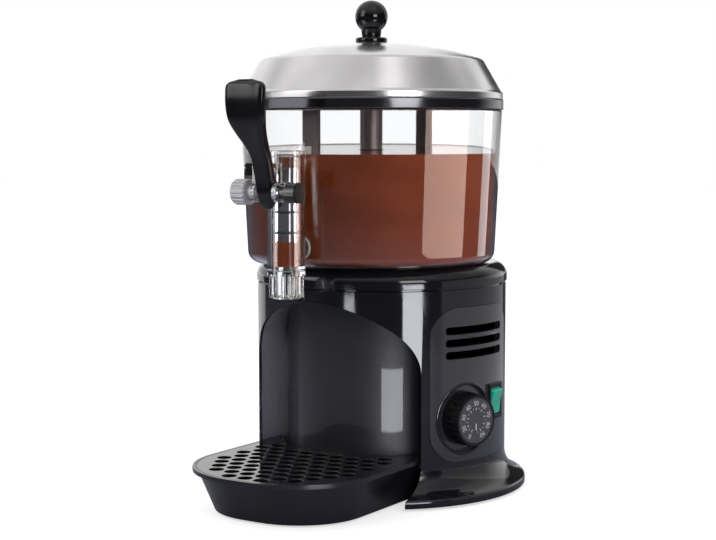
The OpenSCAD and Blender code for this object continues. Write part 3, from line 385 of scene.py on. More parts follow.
def make_materials():
    bowl = tuple(float(v) for v in BOWL_AXIS)
    tap = tuple(float(v) for v in TAP_AXIS)
    return {
        "housing_black": moulded("glossy black housing", (0.0045, 0.0045, 0.0065), 0.06, peel=0.05,
                                 dust=0.10),
        "liner_black": moulded("glossy black liner", (0.008, 0.0077, 0.010), 0.42, peel=0.04,
                               dust=0.10, coat=0.55),
        "plate_grey": moulded("grey painted plate", (0.05, 0.05, 0.055), 0.45),
        "rubber_black": moulded("black rubber", (0.010, 0.010, 0.010), 0.75, peel=0.4, grain=900.0),
        "screw_steel": metal("zinc screws", (0.60, 0.60, 0.62), 0.3, stretch=(300.0, 300.0, 300.0)),
        "matte_black": moulded("matt black plastic", (0.010, 0.010, 0.011), 0.42, peel=0.3,
                               grain=900.0),
        "terminal_cream": moulded("cream plastic", (0.60, 0.55, 0.44), 0.5),
        "panel_black": moulded("satin black panel", (0.019, 0.019, 0.022), 0.18, grain=1100.0,
                               coat=0.3),
        "sheet_steel": metal("satin sheet steel", (0.62, 0.61, 0.60), 0.3, axis=bowl),
        "seal_red": moulded("red silicone", (0.30, 0.03, 0.02), 0.5),
        "seal_white": moulded("white silicone", (0.62, 0.62, 0.57), 0.45),
        "heater_steel": metal("heat tinted steel", (0.34, 0.30, 0.27), 0.35,
                              stretch=(90.0, 90.0, 90.0)),
        "bush_bronze": metal("sintered bronze", (0.55, 0.36, 0.16), 0.45, axis=bowl),
        "bracket_steel": metal("zinc plated bracket", (0.50, 0.51, 0.52), 0.35,
                               stretch=(900.0, 40.0, 900.0)),
        "gearbox_aluminium": metal("cast aluminium", (0.55, 0.56, 0.57), 0.5,
                                   stretch=(700.0, 700.0, 700.0), lines=0.5),
        "motor_grey": moulded("grey painted motor", (0.10, 0.11, 0.12), 0.4),
        "knob_black": moulded("black knob plastic", (0.006, 0.006, 0.007), 0.22),
        "dial_grey": moulded("grey dial print", (0.10, 0.10, 0.11), 0.38, peel=0.2, grain=900.0),
        "switch_green": lit_rocker("lit green rocker", (0.012, 0.36, 0.24)),
        "tray_black": moulded("black tray plastic", (0.006, 0.006, 0.008), 0.20, grain=700.0),
        "grid_black": moulded("glossy black grid", (0.007, 0.007, 0.009), 0.08, peel=0.03,
                              dust=0.10),
        "clear_bowl": clear("clear bowl plastic", (0.985, 0.99, 0.995)),
        "clear_tap": clear("clear tap plastic", (0.97, 0.98, 0.985), 0.03),
        "hub_white": moulded("white nylon", (0.66, 0.66, 0.62), 0.35),
        "tap_chrome": metal("polished chrome", (0.80, 0.80, 0.82), 0.06, lines=0.02, axis=tap),
        "pin_knob_grey": moulded("grey fluted knob", (0.38, 0.38, 0.40), 0.3),
        "lever_black": moulded("glossy black lever", (0.004, 0.004, 0.0045), 0.16, dust=0.05),
        # The stirrer's colour is darker and browner than steel: painted shade of its place in the
        # bowl, with a painted brown reflection of the chocolate
        "stirrer_steel": metal("satin stirrer steel with painted shade", (0.30, 0.24, 0.24), 0.34, lines=0.05,
                               stretch=(700.0, 700.0, 30.0)),
        "scraper_white": moulded("soft white blade", (0.62, 0.60, 0.54), 0.5),
        # The lid's patches are darker than its grain, a painted reflection
        "lid_steel": metal("polished spun lid", (0.84, 0.82, 0.835), 0.20, lines=0.03, axis=bowl,
                           deep=0.97, painted_blotch=0.86),
        "trim_black": metal("dark polished trim", (0.17, 0.165, 0.18), 0.14, lines=0.03, axis=bowl),
        "lid_knob_black": moulded("high gloss black knob", (0.004, 0.004, 0.006), 0.06),
        "chocolate": chocolate("drinking chocolate"),
        "dial_print": moulded("white dial print", (0.85, 0.85, 0.86), 0.45),
    }


def dress_nodes(materials):
    """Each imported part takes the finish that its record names."""
    for node, slot in SLOTS.items():
        mesh = NODES[node].data
        mesh.materials.clear()
        mesh.materials.append(materials[slot])


# ---- Stage --------------------------------------------------------------------------------

WHITE = (1.0, 1.0, 1.0)
COOL = (0.92, 0.94, 1.0)
WARM = (1.0, 0.76, 0.66)
BASE_PIECES = ["housing_rounded", "top_ring_rounded", "control_panel_rounded", "dial_bezel"]
BOWL_PIECES = ["clear_bowl", "chocolate_filling", "tap_barrel_rounded", "tap_nozzle_rounded"]
TAP_PIECES = ["tap_piston_rounded", "tap_barrel_rounded", "tap_nozzle_rounded", "pin_cap_rounded",
              "pin_knob_rounded", "pivot_pin", "stirrer_hub_rounded"]
PIN_PIECES = ["tap_piston_rounded", "pivot_pin", "tap_barrel_rounded"]
RECESS_PIECES = ["recess_liner", "drip_tray_rounded", "drip_grid_rounded", "tray_rails"]
# The beam that lights the recess's left wall: how far it spreads, and where it points
BEAM_SPREAD = math.radians(5.0)
BEAM_AIM = (-92.0 * MM, BASE_AXIS[1] - 78.0 * MM, 115.0 * MM)


def area_light(name, angle, distance, height, size, radiance, reach=(), colour=WHITE,
               through=False):
    """A soft rectangle of light that faces the base axis, at an angle in degrees from the front
    towards +X, with its size across and up. Its power is radiance times pi times its area. It
    reaches only the pieces that are named, or all of them, and clear parts let it be seen through
    them only where that is asked for."""
    data = bpy.data.lights.new(name, "AREA")
    data.shape = "RECTANGLE"
    data.size, data.size_y = size
    data.energy = radiance * math.pi * size[0] * size[1]
    data.color = colour
    light = new_object(name, data)
    aim = np.append(BASE_AXIS, height)
    place = aim + level(math.radians(angle)) * distance
    light.location = place
    face(light, aim - place)
    light.visible_camera = False
    light.visible_transmission = through
    if reach:
        reached = bpy.data.collections.new(name + " reach")
        for piece in reach:
            reached.objects.link(bpy.data.objects[piece])
        light.light_linking.receiver_collection = reached
    return light


def make_lights():
    """Each crisp reflection has a light of its own that reaches only the pieces that show it. The
    last three are broad: for the rim, for the lid and its trim, and for the whole left side."""
    # Angle, distance, height, size across and up, radiance, and the pieces that it reaches
    area_light("base strip", 57.9, 0.75, 0.083, (0.225, 0.166), 14.4, BASE_PIECES, COOL)
    area_light("base square", 5.0, 0.75, 0.109, (0.11, 0.042), 9.0, BASE_PIECES, COOL)
    area_light("column card", 43.0, 0.42, 0.036, (0.17, 0.072), 10.5, RECESS_PIECES, COOL)
    area_light("bowl pane", 98.0, 1.0, 0.21, (0.80, 0.42), 6.2, BOWL_PIECES, WARM)
    area_light("narrow pane", 150.0, 1.0, 0.21, (0.27, 0.42), 3.0, BOWL_PIECES)
    area_light("tap strip left", -30.0, 0.60, 0.30, (0.14, 0.40), 6.0, TAP_PIECES, through=True)
    area_light("tap strip right", 88.0, 0.60, 0.30, (0.14, 0.40), 6.0, TAP_PIECES, through=True)
    area_light("tap strip near", 53.0, 0.90, 0.30, (0.13, 0.40), 1.6, PIN_PIECES, through=True)
    area_light("stirrer strip", 58.0, 0.90, 0.36, (0.10, 0.30), 14.0, ["stirrer_hub_rounded"])
    area_light("right wash", 128.0, 0.50, 0.15, (1.0, 0.30), 0.45, BASE_PIECES)
    area_light("left edge card", -112.0, 0.90, 0.06, (0.42, 0.30), 0.9, BASE_PIECES)
    beam = area_light("recess beam", 40.0, 0.90, 0.16, (0.03, 0.16), 15.0,
                      ["recess_liner", "housing_rounded"])
    beam.data.spread = BEAM_SPREAD
    face(beam, Vector(BEAM_AIM) - beam.location)
    area_light("rim box", 59.0, 1.30, 0.56, (0.52, 0.37), 6.0)
    area_light("trim side", -40.0, 1.20, 0.36, (0.85, 0.24), 1.0, ["lid_trim_rounded", "spun_lid"])
    area_light("left box", -32.0, 1.50, 1.0, (0.75, 1.0), 2.2)


def towards(tree, direction, inner, outer):
    """1 within the inner angle of a direction, falling smoothly to 0 at the outer angle."""
    way = tree.add("ShaderNodeTexCoord").outputs["Generated"]
    dot = tree.add("ShaderNodeVectorMath", {0: way, 1: tuple(direction)}, operation="DOT_PRODUCT")
    return tree.mapped(dot.outputs["Value"], math.cos(outer), math.cos(inner), smooth=True)


def raised(angle, elevation):
    """The direction at an angle from the front towards +X and at an elevation."""
    flat = level(angle) * math.cos(elevation)
    flat[2] = math.sin(elevation)
    return flat


def straight_view(tree):
    """1 for what the eye sees directly or through clear parts, and 0 for light and for gloss."""
    path = tree.add("ShaderNodeLightPath").outputs
    bounces = tree.math("ADD", path["Glossy Depth"], path["Diffuse Depth"])
    direct = tree.math("LESS_THAN", bounces, 0.5)
    through = tree.math("MULTIPLY", path["Is Transmission Ray"], direct)
    return tree.math("MAXIMUM", path["Is Camera Ray"], through)


# Patches of the room: angle from the camera's and elevation, in degrees, and then the angles in
# radians within which a patch is whole and past which it is gone
BACKDROP = (180.0, 5.73, 0.7, 1.35)
CEILING = (0.0, 90.0, 0.75, 1.40)
BACKDROP_LIGHT = 0.85
CEILING_LIGHT = 0.62
ROOM_LIGHT = 0.06
# A patch of added light has its strength first, and a dark flag the share of light that it leaves
GLOWS = [(0.60, (28.0, 58.0, 0.02, 0.22)), (0.16, (-97.0, 42.0, 0.2, 0.9)),
         (0.30, (186.0, 3.0, 0.16, 0.34))]
FLAGS = [(0.58, (83.0, 47.0, 0.05, 0.40)), (0.05, (160.0, 14.5, 0.20, 0.29))]


def make_world():
    """The room is white to the eye. For light and gloss it is dim in front and bright behind and
    above, with the glows added and the flags taking light away."""
    world = bpy.data.worlds.new("studio")
    bpy.context.scene.world = world
    world.use_nodes = True
    world.node_tree.nodes.clear()
    tree = Tree(world.node_tree)

    def patch(angle, elevation, inner, outer):
        way = raised(CAMERA_ANGLE + math.radians(angle), math.radians(elevation))
        return towards(tree, way, inner, outer)

    backdrop = tree.math("MULTIPLY", patch(*BACKDROP), BACKDROP_LIGHT)
    ceiling = tree.math("MULTIPLY", patch(*CEILING), CEILING_LIGHT)
    light = tree.math("MAXIMUM", backdrop, ceiling)
    for strength, where in GLOWS:
        light = tree.math("ADD", light, tree.math("MULTIPLY", patch(*where), strength))
    light = tree.math("ADD", light, ROOM_LIGHT)
    for left, where in FLAGS:
        light = tree.math("MULTIPLY", light, tree.mapped(patch(*where), 0.0, 1.0, 1.0, left))
    room = tree.add("ShaderNodeBackground", {"Color": light}).outputs[0]
    white = tree.add("ShaderNodeBackground", {"Color": rgba(WHITE), "Strength": 1.0}).outputs[0]
    tree.show(tree.blend(straight_view(tree), room, white), "ShaderNodeOutputWorld")


FLOOR_SIZE = 14.0
FLOOR_GLOW = 0.62
# In gloss the floor has a painted pool of light round the machine, which fades out between these
# distances
POOL_REACH = (0.4, 1.5)
POOL_NEAR = (0.45, 0.45, 0.56)
POOL_FAR = (0.12, 0.12, 0.14)


def make_floor():
    """A pale floor. To the eye it is nearly white with soft shadows, and in gloss it is dimmer,
    with a painted pool of light round the machine.
    """
    mesh = bpy.data.meshes.new("floor")
    h = FLOOR_SIZE / 2
    mesh.from_pydata([(-h, -h, 0), (h, -h, 0), (h, h, 0), (-h, h, 0)], [], [(0, 1, 2, 3)])
    floor = new_object("floor", mesh)
    material, tree = new_material("pale floor")
    shade = tree.mix(tree.noise(tree.object_place(), 6.0), (0.80, 0.80, 0.80), (0.82, 0.82, 0.82))
    matt = tree.add("ShaderNodeBsdfDiffuse", {"Color": shade}).outputs[0]
    glow = tree.add("ShaderNodeEmission", {"Color": rgba(WHITE), "Strength": FLOOR_GLOW}).outputs[0]
    lit = tree.add("ShaderNodeAddShader", {0: matt, 1: glow}).outputs[0]
    # Painted light: for light and gloss the floor's colour is paler near the machine and fades
    # further out
    pool = tree.mapped(tree.length(tree.object_place()), *POOL_REACH, smooth=True)
    fading = tree.mix(pool, POOL_NEAR, POOL_FAR)
    dim = tree.add("ShaderNodeBsdfDiffuse", {"Color": fading}).outputs[0]
    tree.show(tree.blend(straight_view(tree), dim, lit))
    mesh.materials.append(material)


def set_render():
    """Plain display colours, and enough bounces for the clear parts."""
    scene = bpy.context.scene
    scene.view_settings.view_transform = "Standard"
    scene.view_settings.look = "None"
    scene.cycles.max_bounces = 14
    scene.cycles.transmission_bounces = 12
    scene.cycles.transparent_max_bounces = 24
    scene.cycles.sample_clamp_indirect = 6.0
    scene.cycles.use_denoising = True


# ---- Shapes -------------------------------------------------------------------------------

# A corner of a profile whose half angle is past this is nearly straight, and stays as it is
NEARLY_STRAIGHT = 1.5
# The most of a side that the arc at one of its ends may take
SIDE_SHARE = 0.49
# A profile that starts or ends this near the axis is closed there
ON_AXIS = 1e-9
MERGE_DISTANCE = 1e-7


def surface(name, points, wrap_rows=False, wrap_columns=False, caps=False):
    """A closed piece from a grid of points, rows by columns by 3, with a face between each four
    neighbours. Wrapped rows or columns join the last to the first, and caps close the two ends."""
    rows, columns = points.shape[:2]
    index = np.arange(rows * columns).reshape(rows, columns)
    if wrap_rows:
        index = np.vstack([index, index[:1]])
    if wrap_columns:
        index = np.hstack([index, index[:, :1]])
    quads = np.stack([index[:-1, :-1], index[:-1, 1:], index[1:, 1:], index[1:, :-1]], -1)
    faces = quads.reshape(-1, 4).tolist()
    if caps:
        faces += [index[0, :columns][::-1].tolist(), index[-1, :columns].tolist()]
    mesh = bpy.data.meshes.new(name)
    mesh.from_pydata(points.reshape(-1, 3).tolist(), [], faces)
    work = bmesh.new()
    work.from_mesh(mesh)
    bmesh.ops.remove_doubles(work, verts=work.verts, dist=MERGE_DISTANCE)
    bmesh.ops.recalc_face_normals(work, faces=work.faces)
    work.to_mesh(mesh)
    work.free()
    return new_object(name, mesh)


def smooth_shaded(mesh, sharp):
    """Smooth shading, with edges past an angle in degrees left sharp."""
    mesh.shade_smooth()
    mesh.set_sharp_from_angle(angle=math.radians(sharp))


def finish_piece(piece, body, slot, stands_for=(), sharp=40.0):
    """Gives a piece its finish and its body, and hides the parts that it stands for."""
    piece.data.materials.append(MATERIALS[slot])
    smooth_shaded(piece.data, sharp)
    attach(piece, body)
    if stands_for:
        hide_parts(*stands_for)


def finish_chocolate(piece, body, sharp):
    """Gives a filling its material and its body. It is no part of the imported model."""
    piece.data.materials.append(MATERIALS["chocolate"])
    smooth_shaded(piece.data, sharp)
    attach(piece, body)


def rounded(corners, steps=6):
    """A line through corners of (across, up, radius). Each corner is turned by an arc that touches
    both of its sides, and the first and last corners stay as they are."""
    line = [np.array(corners[0][:2], float)]
    for before, (x, y, radius), after in zip(corners[:-2], corners[1:-1], corners[2:]):
        corner = np.array([x, y])
        back = np.array(before[:2]) - corner
        ahead = np.array(after[:2]) - corner
        room = SIDE_SHARE * min(np.linalg.norm(back), np.linalg.norm(ahead))
        back, ahead = back / np.linalg.norm(back), ahead / np.linalg.norm(ahead)
        half = math.acos(max(-1.0, min(1.0, float(back @ ahead)))) / 2
        if radius <= 0 or half > NEARLY_STRAIGHT:
            line.append(corner)
            continue
        reach = min(radius / math.tan(half), room)
        middle = corner + (back + ahead) / np.linalg.norm(back + ahead) * reach / math.cos(half)
        arm = corner + back * reach - middle
        side = 1.0 if back[0] * ahead[1] - back[1] * ahead[0] < 0 else -1.0
        for t in np.linspace(0.0, side * (math.pi - 2 * half), steps):
            turn = np.array([[math.cos(t), -math.sin(t)], [math.sin(t), math.cos(t)]])
            line.append(middle + turn @ arm)
    line.append(np.array(corners[-1][:2], float))
    return np.array(line)


def revolved(name, profile, axis, steps=160):
    """A profile of (radius, height) turned about a vertical axis: at turn t a point is at
    (axis x + radius cos t, axis y + radius sin t, height). The profile is a closed loop, or runs
    from the axis to the axis."""
    profile = np.array(profile)
    turn = np.linspace(0.0, 2 * math.pi, steps, endpoint=False)
    x = axis[0] + profile[:, :1] * np.cos(turn)
    y = axis[1] + profile[:, :1] * np.sin(turn)
    z = np.repeat(profile[:, 1:], steps, axis=1)
    loop = min(profile[0, 0], profile[-1, 0]) > ON_AXIS
    return surface(name, np.stack([x, y, z], -1), wrap_rows=loop, wrap_columns=True)


# ---- Bowl and chocolate -------------------------------------------------------------------

BOWL_LOW, BOWL_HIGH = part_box("bowl")
BOWL_TOP_R = half_width("bowl")
BOWL_LOW_R = 117.5 * MM
BOWL_ROUND = 11.0 * MM
BOWL_WALL = 3.0 * MM
PAN_HOLE_R = 55.6 * MM
SLEEVE_R = 10.7 * MM
CHOCOLATE_LEVEL = 319.0 * MM
# How high the chocolate climbs where it clings to a wall
CLING = 0.9 * MM
FLANGE_HEIGHT = 2.4 * MM
PISTON_ROD_R = 3.0 * MM
CHAMBER_R = 13.0 * MM
# Clearance of the chocolate to the wall that holds it
SKIN = 0.15 * MM


def make_bowl():
    """The bowl's wall, turned: up the outside, over a rounded rim, down the inside and along the
    floor to the hole for the pan."""
    z, top = BOWL_LOW[2], BOWL_HIGH[2]
    profile = rounded([
        (PAN_HOLE_R, z + BOWL_WALL / 2, 0), (PAN_HOLE_R, z, 0.5 * MM), (BOWL_LOW_R, z, BOWL_ROUND),
        (BOWL_TOP_R, top, 1.4 * MM), (BOWL_TOP_R - BOWL_WALL, top, 1.4 * MM),
        (BOWL_LOW_R - BOWL_WALL, z + BOWL_WALL, BOWL_ROUND - BOWL_WALL),
        (PAN_HOLE_R, z + BOWL_WALL, 0.5 * MM), (PAN_HOLE_R, z + BOWL_WALL / 2, 0)], steps=10)
    bowl = revolved("clear_bowl", profile[:-1], BOWL_AXIS, steps=192)
    finish_piece(bowl, "bowl", "clear_bowl", ["bowl"])


def inner_radius(z):
    """The bowl's inner radius at a height: its wall leans outwards in a straight line."""
    rise = (z - BOWL_LOW[2]) / (BOWL_HIGH[2] - BOWL_LOW[2])
    return BOWL_LOW_R + (BOWL_TOP_R - BOWL_LOW_R) * rise - BOWL_WALL


def make_chocolate():
    """The bowl's filling: a turned solid that follows the wall, with a slightly raised edge where
    it clings to the wall and to the middle column. It leaves room for the pan's flange below."""
    floor = BOWL_LOW[2] + BOWL_WALL + SKIN
    column = SLEEVE_R + SKIN
    start = floor + 30 * MM
    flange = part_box("pan_gasket")[1][0] + 1.5 * MM
    flange_top = floor + FLANGE_HEIGHT
    wall = inner_radius(CHOCOLATE_LEVEL) - SKIN
    profile = rounded([
        (column, start, 0), (column, CHOCOLATE_LEVEL + CLING, 0.1 * MM),
        (column + 2.5 * MM, CHOCOLATE_LEVEL, 4 * MM), (wall - 3.5 * MM, CHOCOLATE_LEVEL, 5 * MM),
        (wall, CHOCOLATE_LEVEL + CLING, 0.1 * MM),
        (inner_radius(floor) - SKIN, floor, BOWL_ROUND - BOWL_WALL), (flange, floor, 0),
        (flange, flange_top, 0), (column, flange_top, 0), (column, start, 0)], steps=8)
    filling = revolved("chocolate_filling", profile[:-1], BOWL_AXIS, steps=192)
    finish_chocolate(filling, "bowl", sharp=60.0)


def make_tap_chocolate():
    """The chocolate in the tap's chamber below the piston, a turned ring round its rod."""
    low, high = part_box("piston_seal")
    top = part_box("piston_rings")[0][2] - 2.0 * MM
    rod, seal, bore = PISTON_ROD_R + SKIN, half_width("piston_seal") + SKIN, CHAMBER_R - 2 * SKIN
    seat, seal_top = low[2], high[2] + SKIN
    profile = [(rod, seal_top), (seal, seal_top), (seal, seat), (bore, seat), (bore, top),
               (rod, top)]
    ring = revolved("chamber_chocolate", profile, TAP_AXIS, steps=64)
    finish_chocolate(ring, "piston", sharp=40.0)


# ---- Lid ----------------------------------------------------------------------------------

LID_SHEET = 1.2 * MM
LID_KNEE_R = 106.0 * MM
LID_RIM_H = 5.8 * MM
LID_DOME_H = 15.0 * MM
LID_HOLE_R = 3.2 * MM
LID_KNOB_FLANGE_R = 15.0 * MM
LID_KNOB_NECK_R = 8.0 * MM
LID_KNOB_HOLE_R = 3.05 * MM
# How deep the blind hole for the screw is, and by what angle the ball ends above the neck
LID_KNOB_HOLE_DEPTH = 12 * MM
LID_KNOB_FILLET = 0.12


def make_lid():
    """The spun lid, turned: an upright rim with a rolled edge, a cone, a rounded knee and a shallow
    dome that is part of a sphere. The inside follows at the sheet's thickness."""
    low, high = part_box("lid")
    rim, z, top = half_width("lid"), low[2], high[2]
    knee = top - LID_DOME_H
    span = LID_KNEE_R - 4 * MM
    sphere = (span ** 2 + LID_DOME_H ** 2) / (2 * LID_DOME_H)
    radius = np.linspace(span, LID_HOLE_R, 14)
    dome = [(r, top - sphere + math.sqrt(sphere ** 2 - r ** 2), 0) for r in radius]
    outside = [(rim, z + 1.0 * MM, 0), (rim, z + LID_RIM_H, 1.5 * MM),
               (rim - 2.2 * MM, z + LID_RIM_H + 2.2 * MM, 1.5 * MM),
               (LID_KNEE_R, knee - 1.5 * MM, 7 * MM)]
    inside = [(r, h - LID_SHEET, 0) for r, h, _ in dome[::-1]]
    inside += [(LID_KNEE_R - LID_SHEET, knee - 2.5 * MM, 6 * MM),
               (rim - 3.4 * MM, z + LID_RIM_H + 1.8 * MM, 1 * MM),
               (rim - LID_SHEET, z + LID_RIM_H, 1 * MM), (rim - LID_SHEET, z + 0.2 * MM, 0.3 * MM),
               (rim, z, 0.4 * MM), (rim, z + 1.0 * MM, 0)]
    profile = rounded(outside + dome + inside, steps=8)
    lid = revolved("spun_lid", profile[:-1], BOWL_AXIS, steps=224)
    finish_piece(lid, "lid", "lid_steel", ["lid"], sharp=50.0)


def make_lid_knob():
    """The ball knob, turned: a rounded flange, a drawn-in neck and the ball, which is an arc. A
    blind hole for its screw runs up from below."""
    low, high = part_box("lid_knob")
    z, top = low[2], high[2]
    ball = half_width("lid_knob")
    start = LID_KNOB_FILLET - math.acos(LID_KNOB_NECK_R / ball)
    turn = np.linspace(start, math.pi / 2, 28)
    arc = [(ball * math.cos(t), top - ball + ball * math.sin(t)) for t in turn[:-1]]
    profile = rounded([
        (LID_KNOB_HOLE_R, z + LID_KNOB_HOLE_DEPTH, 0), (LID_KNOB_HOLE_R, z, 0.3 * MM),
        (LID_KNOB_FLANGE_R, z, 1.0 * MM), (LID_KNOB_FLANGE_R, z + 4.6 * MM, 1.8 * MM),
        (LID_KNOB_NECK_R + 1.0 * MM, z + 5.4 * MM, 1.5 * MM)])
    shape = [(0.0, z + LID_KNOB_HOLE_DEPTH), *map(tuple, profile), *arc, (0.0, top)]
    knob = revolved("ball_knob", shape, BOWL_AXIS, steps=96)
    finish_piece(knob, "lid", "lid_knob_black", ["lid_knob"], sharp=50.0)


# ---- Lever --------------------------------------------------------------------------------

LEVER_STEM = 16.0 * MM
LEVER_HEAD = 40.0 * MM
# The lever's middle line: depth and height from the pivot, then width and thickness there
LEVER_LINE = np.array([
    (0.0, -15.0, 8.0, 6.0), (0.0, -8.0, 14.0, 11.0), (0.0, 0.0, 16.0, 16.5),
    (-2.6, 9.0, 16.0, 14.0), (-5.6, 18.0, 16.0, 12.2), (-9.8, 31.0, 16.5, 11.4),
    (-16.0, 42.0, 20.5, 11.2), (-24.0, 53.0, 29.0, 10.6), (-29.6, 63.0, 36.5, 9.8),
    (-31.6, 73.0, 39.4, 9.2), (-32.0, 83.0, 40.0, 8.8), (-31.2, 97.0, 40.0, 7.6)]) * MM
# How far its lower and upper ends are rounded
LEVER_ENDS = np.array([6.0, 7.0]) * MM
# 1 makes its section an ellipse, and 0 a rectangle
LEVER_SQUARENESS = 0.42
# How deep the head is dished, and over what share of its width
LEVER_DISH = 1.6 * MM
LEVER_DISH_SHARE = 0.82


def smooth_line(knots, steps):
    """A curve through knots by cubics whose slope at a knot is that between its neighbours."""
    knots = np.vstack([2 * knots[0] - knots[1], knots, 2 * knots[-1] - knots[-2]])
    t = np.linspace(0.0, 1.0, steps, endpoint=False)[:, None]
    parts = []
    for a, b, c, d in zip(knots[:-3], knots[1:-2], knots[2:-1], knots[3:]):
        parts.append(0.5 * (2 * b + (c - a) * t + (2 * a - 5 * b + 4 * c - d) * t ** 2
                            + (3 * b - a - 3 * c + d) * t ** 3))
    return np.vstack(parts + [knots[-2:-1]])


def squared(wave):
    """A sine or cosine made fuller, which turns an ellipse into a squarish oval."""
    return np.sign(wave) * np.abs(wave) ** LEVER_SQUARENESS


def make_lever():
    """The lever, lofted: at each point of its line a section stands across it, a squarish oval
    whose front is dished on the head. The sections shrink along a quarter circle at both ends."""
    depth, height, width, thick = smooth_line(LEVER_LINE, steps=6).T
    along = np.gradient(np.stack([depth, height], -1), axis=0)
    along /= np.linalg.norm(along, axis=1, keepdims=True)
    run = np.concatenate([[0.0], np.cumsum(np.hypot(np.diff(depth), np.diff(height)))])
    left = np.clip(np.stack([run, run[-1] - run]) / LEVER_ENDS[:, None], 0.0, 1.0)
    ease = np.sqrt(np.clip(1 - (1 - left) ** 2, 0.0, 1.0)).prod(0)
    turn = np.linspace(0.0, 2 * math.pi, 56, endpoint=False)
    across, out = squared(np.cos(turn)), squared(np.sin(turn))
    narrowed = 0.35 + 0.65 * ease
    x = width[:, None] / 2 * narrowed[:, None] * across
    dish = LEVER_DISH * np.clip((width - LEVER_STEM) / (LEVER_HEAD - LEVER_STEM), 0.0, 1.0)
    hollow = np.clip(1 - (2 * x / (LEVER_DISH_SHARE * width[:, None])) ** 2, 0.0, 1.0) ** 1.5
    n = thick[:, None] / 2 * ease[:, None] * out + (out < 0) * dish[:, None] * hollow
    y = PIVOT[1] + depth[:, None] + along[:, 1:] * n
    z = PIVOT[2] + height[:, None] - along[:, :1] * n
    lever = surface("paddle_lever", np.stack([x, y, z], -1), wrap_columns=True, caps=True)
    finish_piece(lever, "lever", "lever_black", ["tap_lever"], sharp=70.0)


# ---- Rounded copies of parts --------------------------------------------------------------

# The width of the rounding on each part's edges, in millimetres
ROUNDINGS = {
    "housing": 1.3, "top_ring": 0.5, "control_panel": 0.5, "switch_frame": 0.6, "rocker": 0.6,
    "dial_knob": 0.4, "drip_tray": 0.5, "drip_grid": 0.45, "tap_barrel": 0.5, "tap_nozzle": 0.4,
    "pin_knob": 0.4, "pin_cap": 0.6, "pin_catch": 0.3, "tap_piston": 0.4, "stirrer_frame": 0.4,
    "stirrer_nut": 0.6, "stirrer_hub": 0.5, "lid_trim": 0.8,
}
# Only edges sharper than this are rounded
ROUNDED_PAST = math.radians(38.0)
# What is nearer than this in a part's mesh is one point, and what is shorter is no edge
SAME_POINT = 2e-6
SHORTEST_EDGE = 1e-6


def round_part(node, width):
    """A copy of a part with rounded edges: its triangles are merged, and its edges bevelled."""
    mesh = NODES[node].data.copy()
    if "custom_normal" in mesh.attributes:
        mesh.attributes.remove(mesh.attributes["custom_normal"])
    work = bmesh.new()
    work.from_mesh(mesh)
    bmesh.ops.remove_doubles(work, verts=work.verts, dist=SAME_POINT)
    bmesh.ops.dissolve_degenerate(work, edges=work.edges, dist=SHORTEST_EDGE)
    work.to_mesh(mesh)
    work.free()
    piece = new_object(node + "_rounded", mesh)
    bevel = piece.modifiers.new("rounding", "BEVEL")
    bevel.width = width
    bevel.segments = 2
    bevel.limit_method = "ANGLE"
    bevel.angle_limit = ROUNDED_PAST
    weight = piece.modifiers.new("flats", "WEIGHTED_NORMAL")
    weight.keep_sharp = True
    smooth_shaded(mesh, 60.0)
    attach(piece, NODES[node]["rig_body"])
    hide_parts(node)


# ---- Dial ---------------------------------------------------------------------------------

DIAL_ANGLE = math.radians(72.0)
DIAL_Z = centre("dial_face")[2]
# How far the printed face stands from the base axis
DIAL_FACE = float((centre("dial_face")[:2] - BASE_AXIS) @ level(DIAL_ANGLE)[:2]) + 0.5 * MM
PANEL_R = 121.0 * MM
WELL_R = 31.5 * MM
DIAL_NUMBERS = ["0", "20", "30", "40", "50", "60", "70", "80", "90"]
# The turn of the first number, and from each number to the next
DIAL_FIRST = math.radians(150.0)
DIAL_STEP = math.radians(37.5)
DIAL_NUMBER_SIZE = 6.2 * MM
DIAL_NUMBER_R = 15.6 * MM
# Printed bars: radius of the middle, width and length
DIAL_TICK = (10.6 * MM, 0.8 * MM, 2.6 * MM)
DIAL_SMALL_TICK = (11.2 * MM, 0.5 * MM, 1.4 * MM)
DIAL_POINTER = (6.0 * MM, 1.2 * MM, 6.0 * MM)
PRINT_DEPTH = 0.12 * MM
BEAD_WIDTH = 1.3 * MM
BEAD_HEIGHT = 1.0 * MM
BEAD_GAP = 0.9 * MM


def dial_matrix(out):
    """The frame of the dial at a distance from the base axis: X runs to the right when it is seen
    from in front, Y runs up and Z runs out."""
    outward = Vector(level(DIAL_ANGLE))
    across = Vector(level(DIAL_ANGLE + math.pi / 2))
    matrix = Matrix((across, Vector((0.0, 0.0, 1.0)), outward)).transposed().to_4x4()
    matrix.translation = Vector((BASE_AXIS[0], BASE_AXIS[1], DIAL_Z)) + outward * out
    return matrix


def lettering(text, size, depth):
    """Digits as a mesh, centred on the origin."""
    curve = bpy.data.curves.new("digits", "FONT")
    curve.body = text
    curve.size = size
    curve.extrude = depth / 2
    curve.align_x = "CENTER"
    curve.align_y = "CENTER"
    curve.resolution_u = 3
    holder = new_object("digits", curve)
    bpy.context.view_layer.update()
    graph = bpy.context.evaluated_depsgraph_get()
    mesh = bpy.data.meshes.new_from_object(holder.evaluated_get(graph))
    bpy.data.objects.remove(holder)
    return mesh


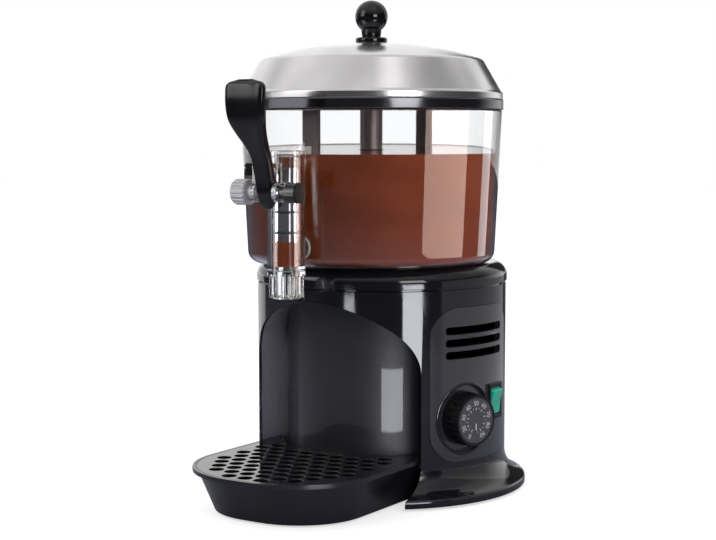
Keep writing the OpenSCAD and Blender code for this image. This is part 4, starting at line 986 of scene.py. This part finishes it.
def make_dial_print():
    """White numbers that stand round the dial with their feet to its middle, a tick under each and
    a small one between, and a pointer line near the middle."""
    work = bmesh.new()
    printed = dial_matrix(DIAL_FACE)

    def bar(turn, radius, width, length):
        spot = Matrix.Rotation(turn, 4, "Z") @ Matrix.Translation((0.0, radius, 0.0))
        size = Matrix.Diagonal((width, length, PRINT_DEPTH, 1.0))
        bmesh.ops.create_cube(work, size=1.0, matrix=printed @ spot @ size)

    for i, number in enumerate(DIAL_NUMBERS):
        turn = DIAL_FIRST - DIAL_STEP * i
        spot = Matrix.Rotation(turn, 4, "Z") @ Matrix.Translation((0.0, DIAL_NUMBER_R, 0.0))
        digits = lettering(number, DIAL_NUMBER_SIZE, PRINT_DEPTH)
        digits.transform(printed @ spot)
        work.from_mesh(digits)
        bar(turn, *DIAL_TICK)
        bar(turn - DIAL_STEP / 2, *DIAL_SMALL_TICK)
    bar(math.pi, *DIAL_POINTER)
    mesh = bpy.data.meshes.new("dial_print")
    work.to_mesh(mesh)
    work.free()
    mesh.materials.append(MATERIALS["dial_print"])
    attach(new_object("dial_print", mesh), "dial")


def make_dial_bezel():
    """A half-round bead round the dial's well. It lies on the panel, which is part of a cylinder,
    so at (r cos t, r sin t) on the panel it stands out by sqrt(R^2 - (r cos t)^2)."""
    turn = np.linspace(0.0, 2 * math.pi, 120, endpoint=False)
    section = np.linspace(0.0, 2 * math.pi, 14, endpoint=False)[:, None]
    radius = WELL_R + BEAD_GAP + BEAD_WIDTH * np.cos(section)
    across = radius * np.cos(turn)
    up = radius * np.sin(turn)
    out = np.sqrt(PANEL_R ** 2 - across ** 2) + BEAD_HEIGHT * np.sin(section)
    sideways, outward = level(DIAL_ANGLE + math.pi / 2), level(DIAL_ANGLE)
    points = np.append(BASE_AXIS, DIAL_Z) + across[..., None] * sideways + out[..., None] * outward
    points[..., 2] += up
    bead = surface("dial_bezel", points, wrap_rows=True, wrap_columns=True)
    finish_piece(bead, "base", "housing_black", sharp=80.0)


# ---- Build --------------------------------------------------------------------------------

make_camera()
set_render()
make_world()
make_floor()
MATERIALS = make_materials()
dress_nodes(MATERIALS)
make_bowl()
make_chocolate()
make_tap_chocolate()
make_lid()
make_lid_knob()
make_lever()
for part, rounding in ROUNDINGS.items():
    round_part(part, rounding * MM)
make_dial_print()
make_dial_bezel()
make_lights()
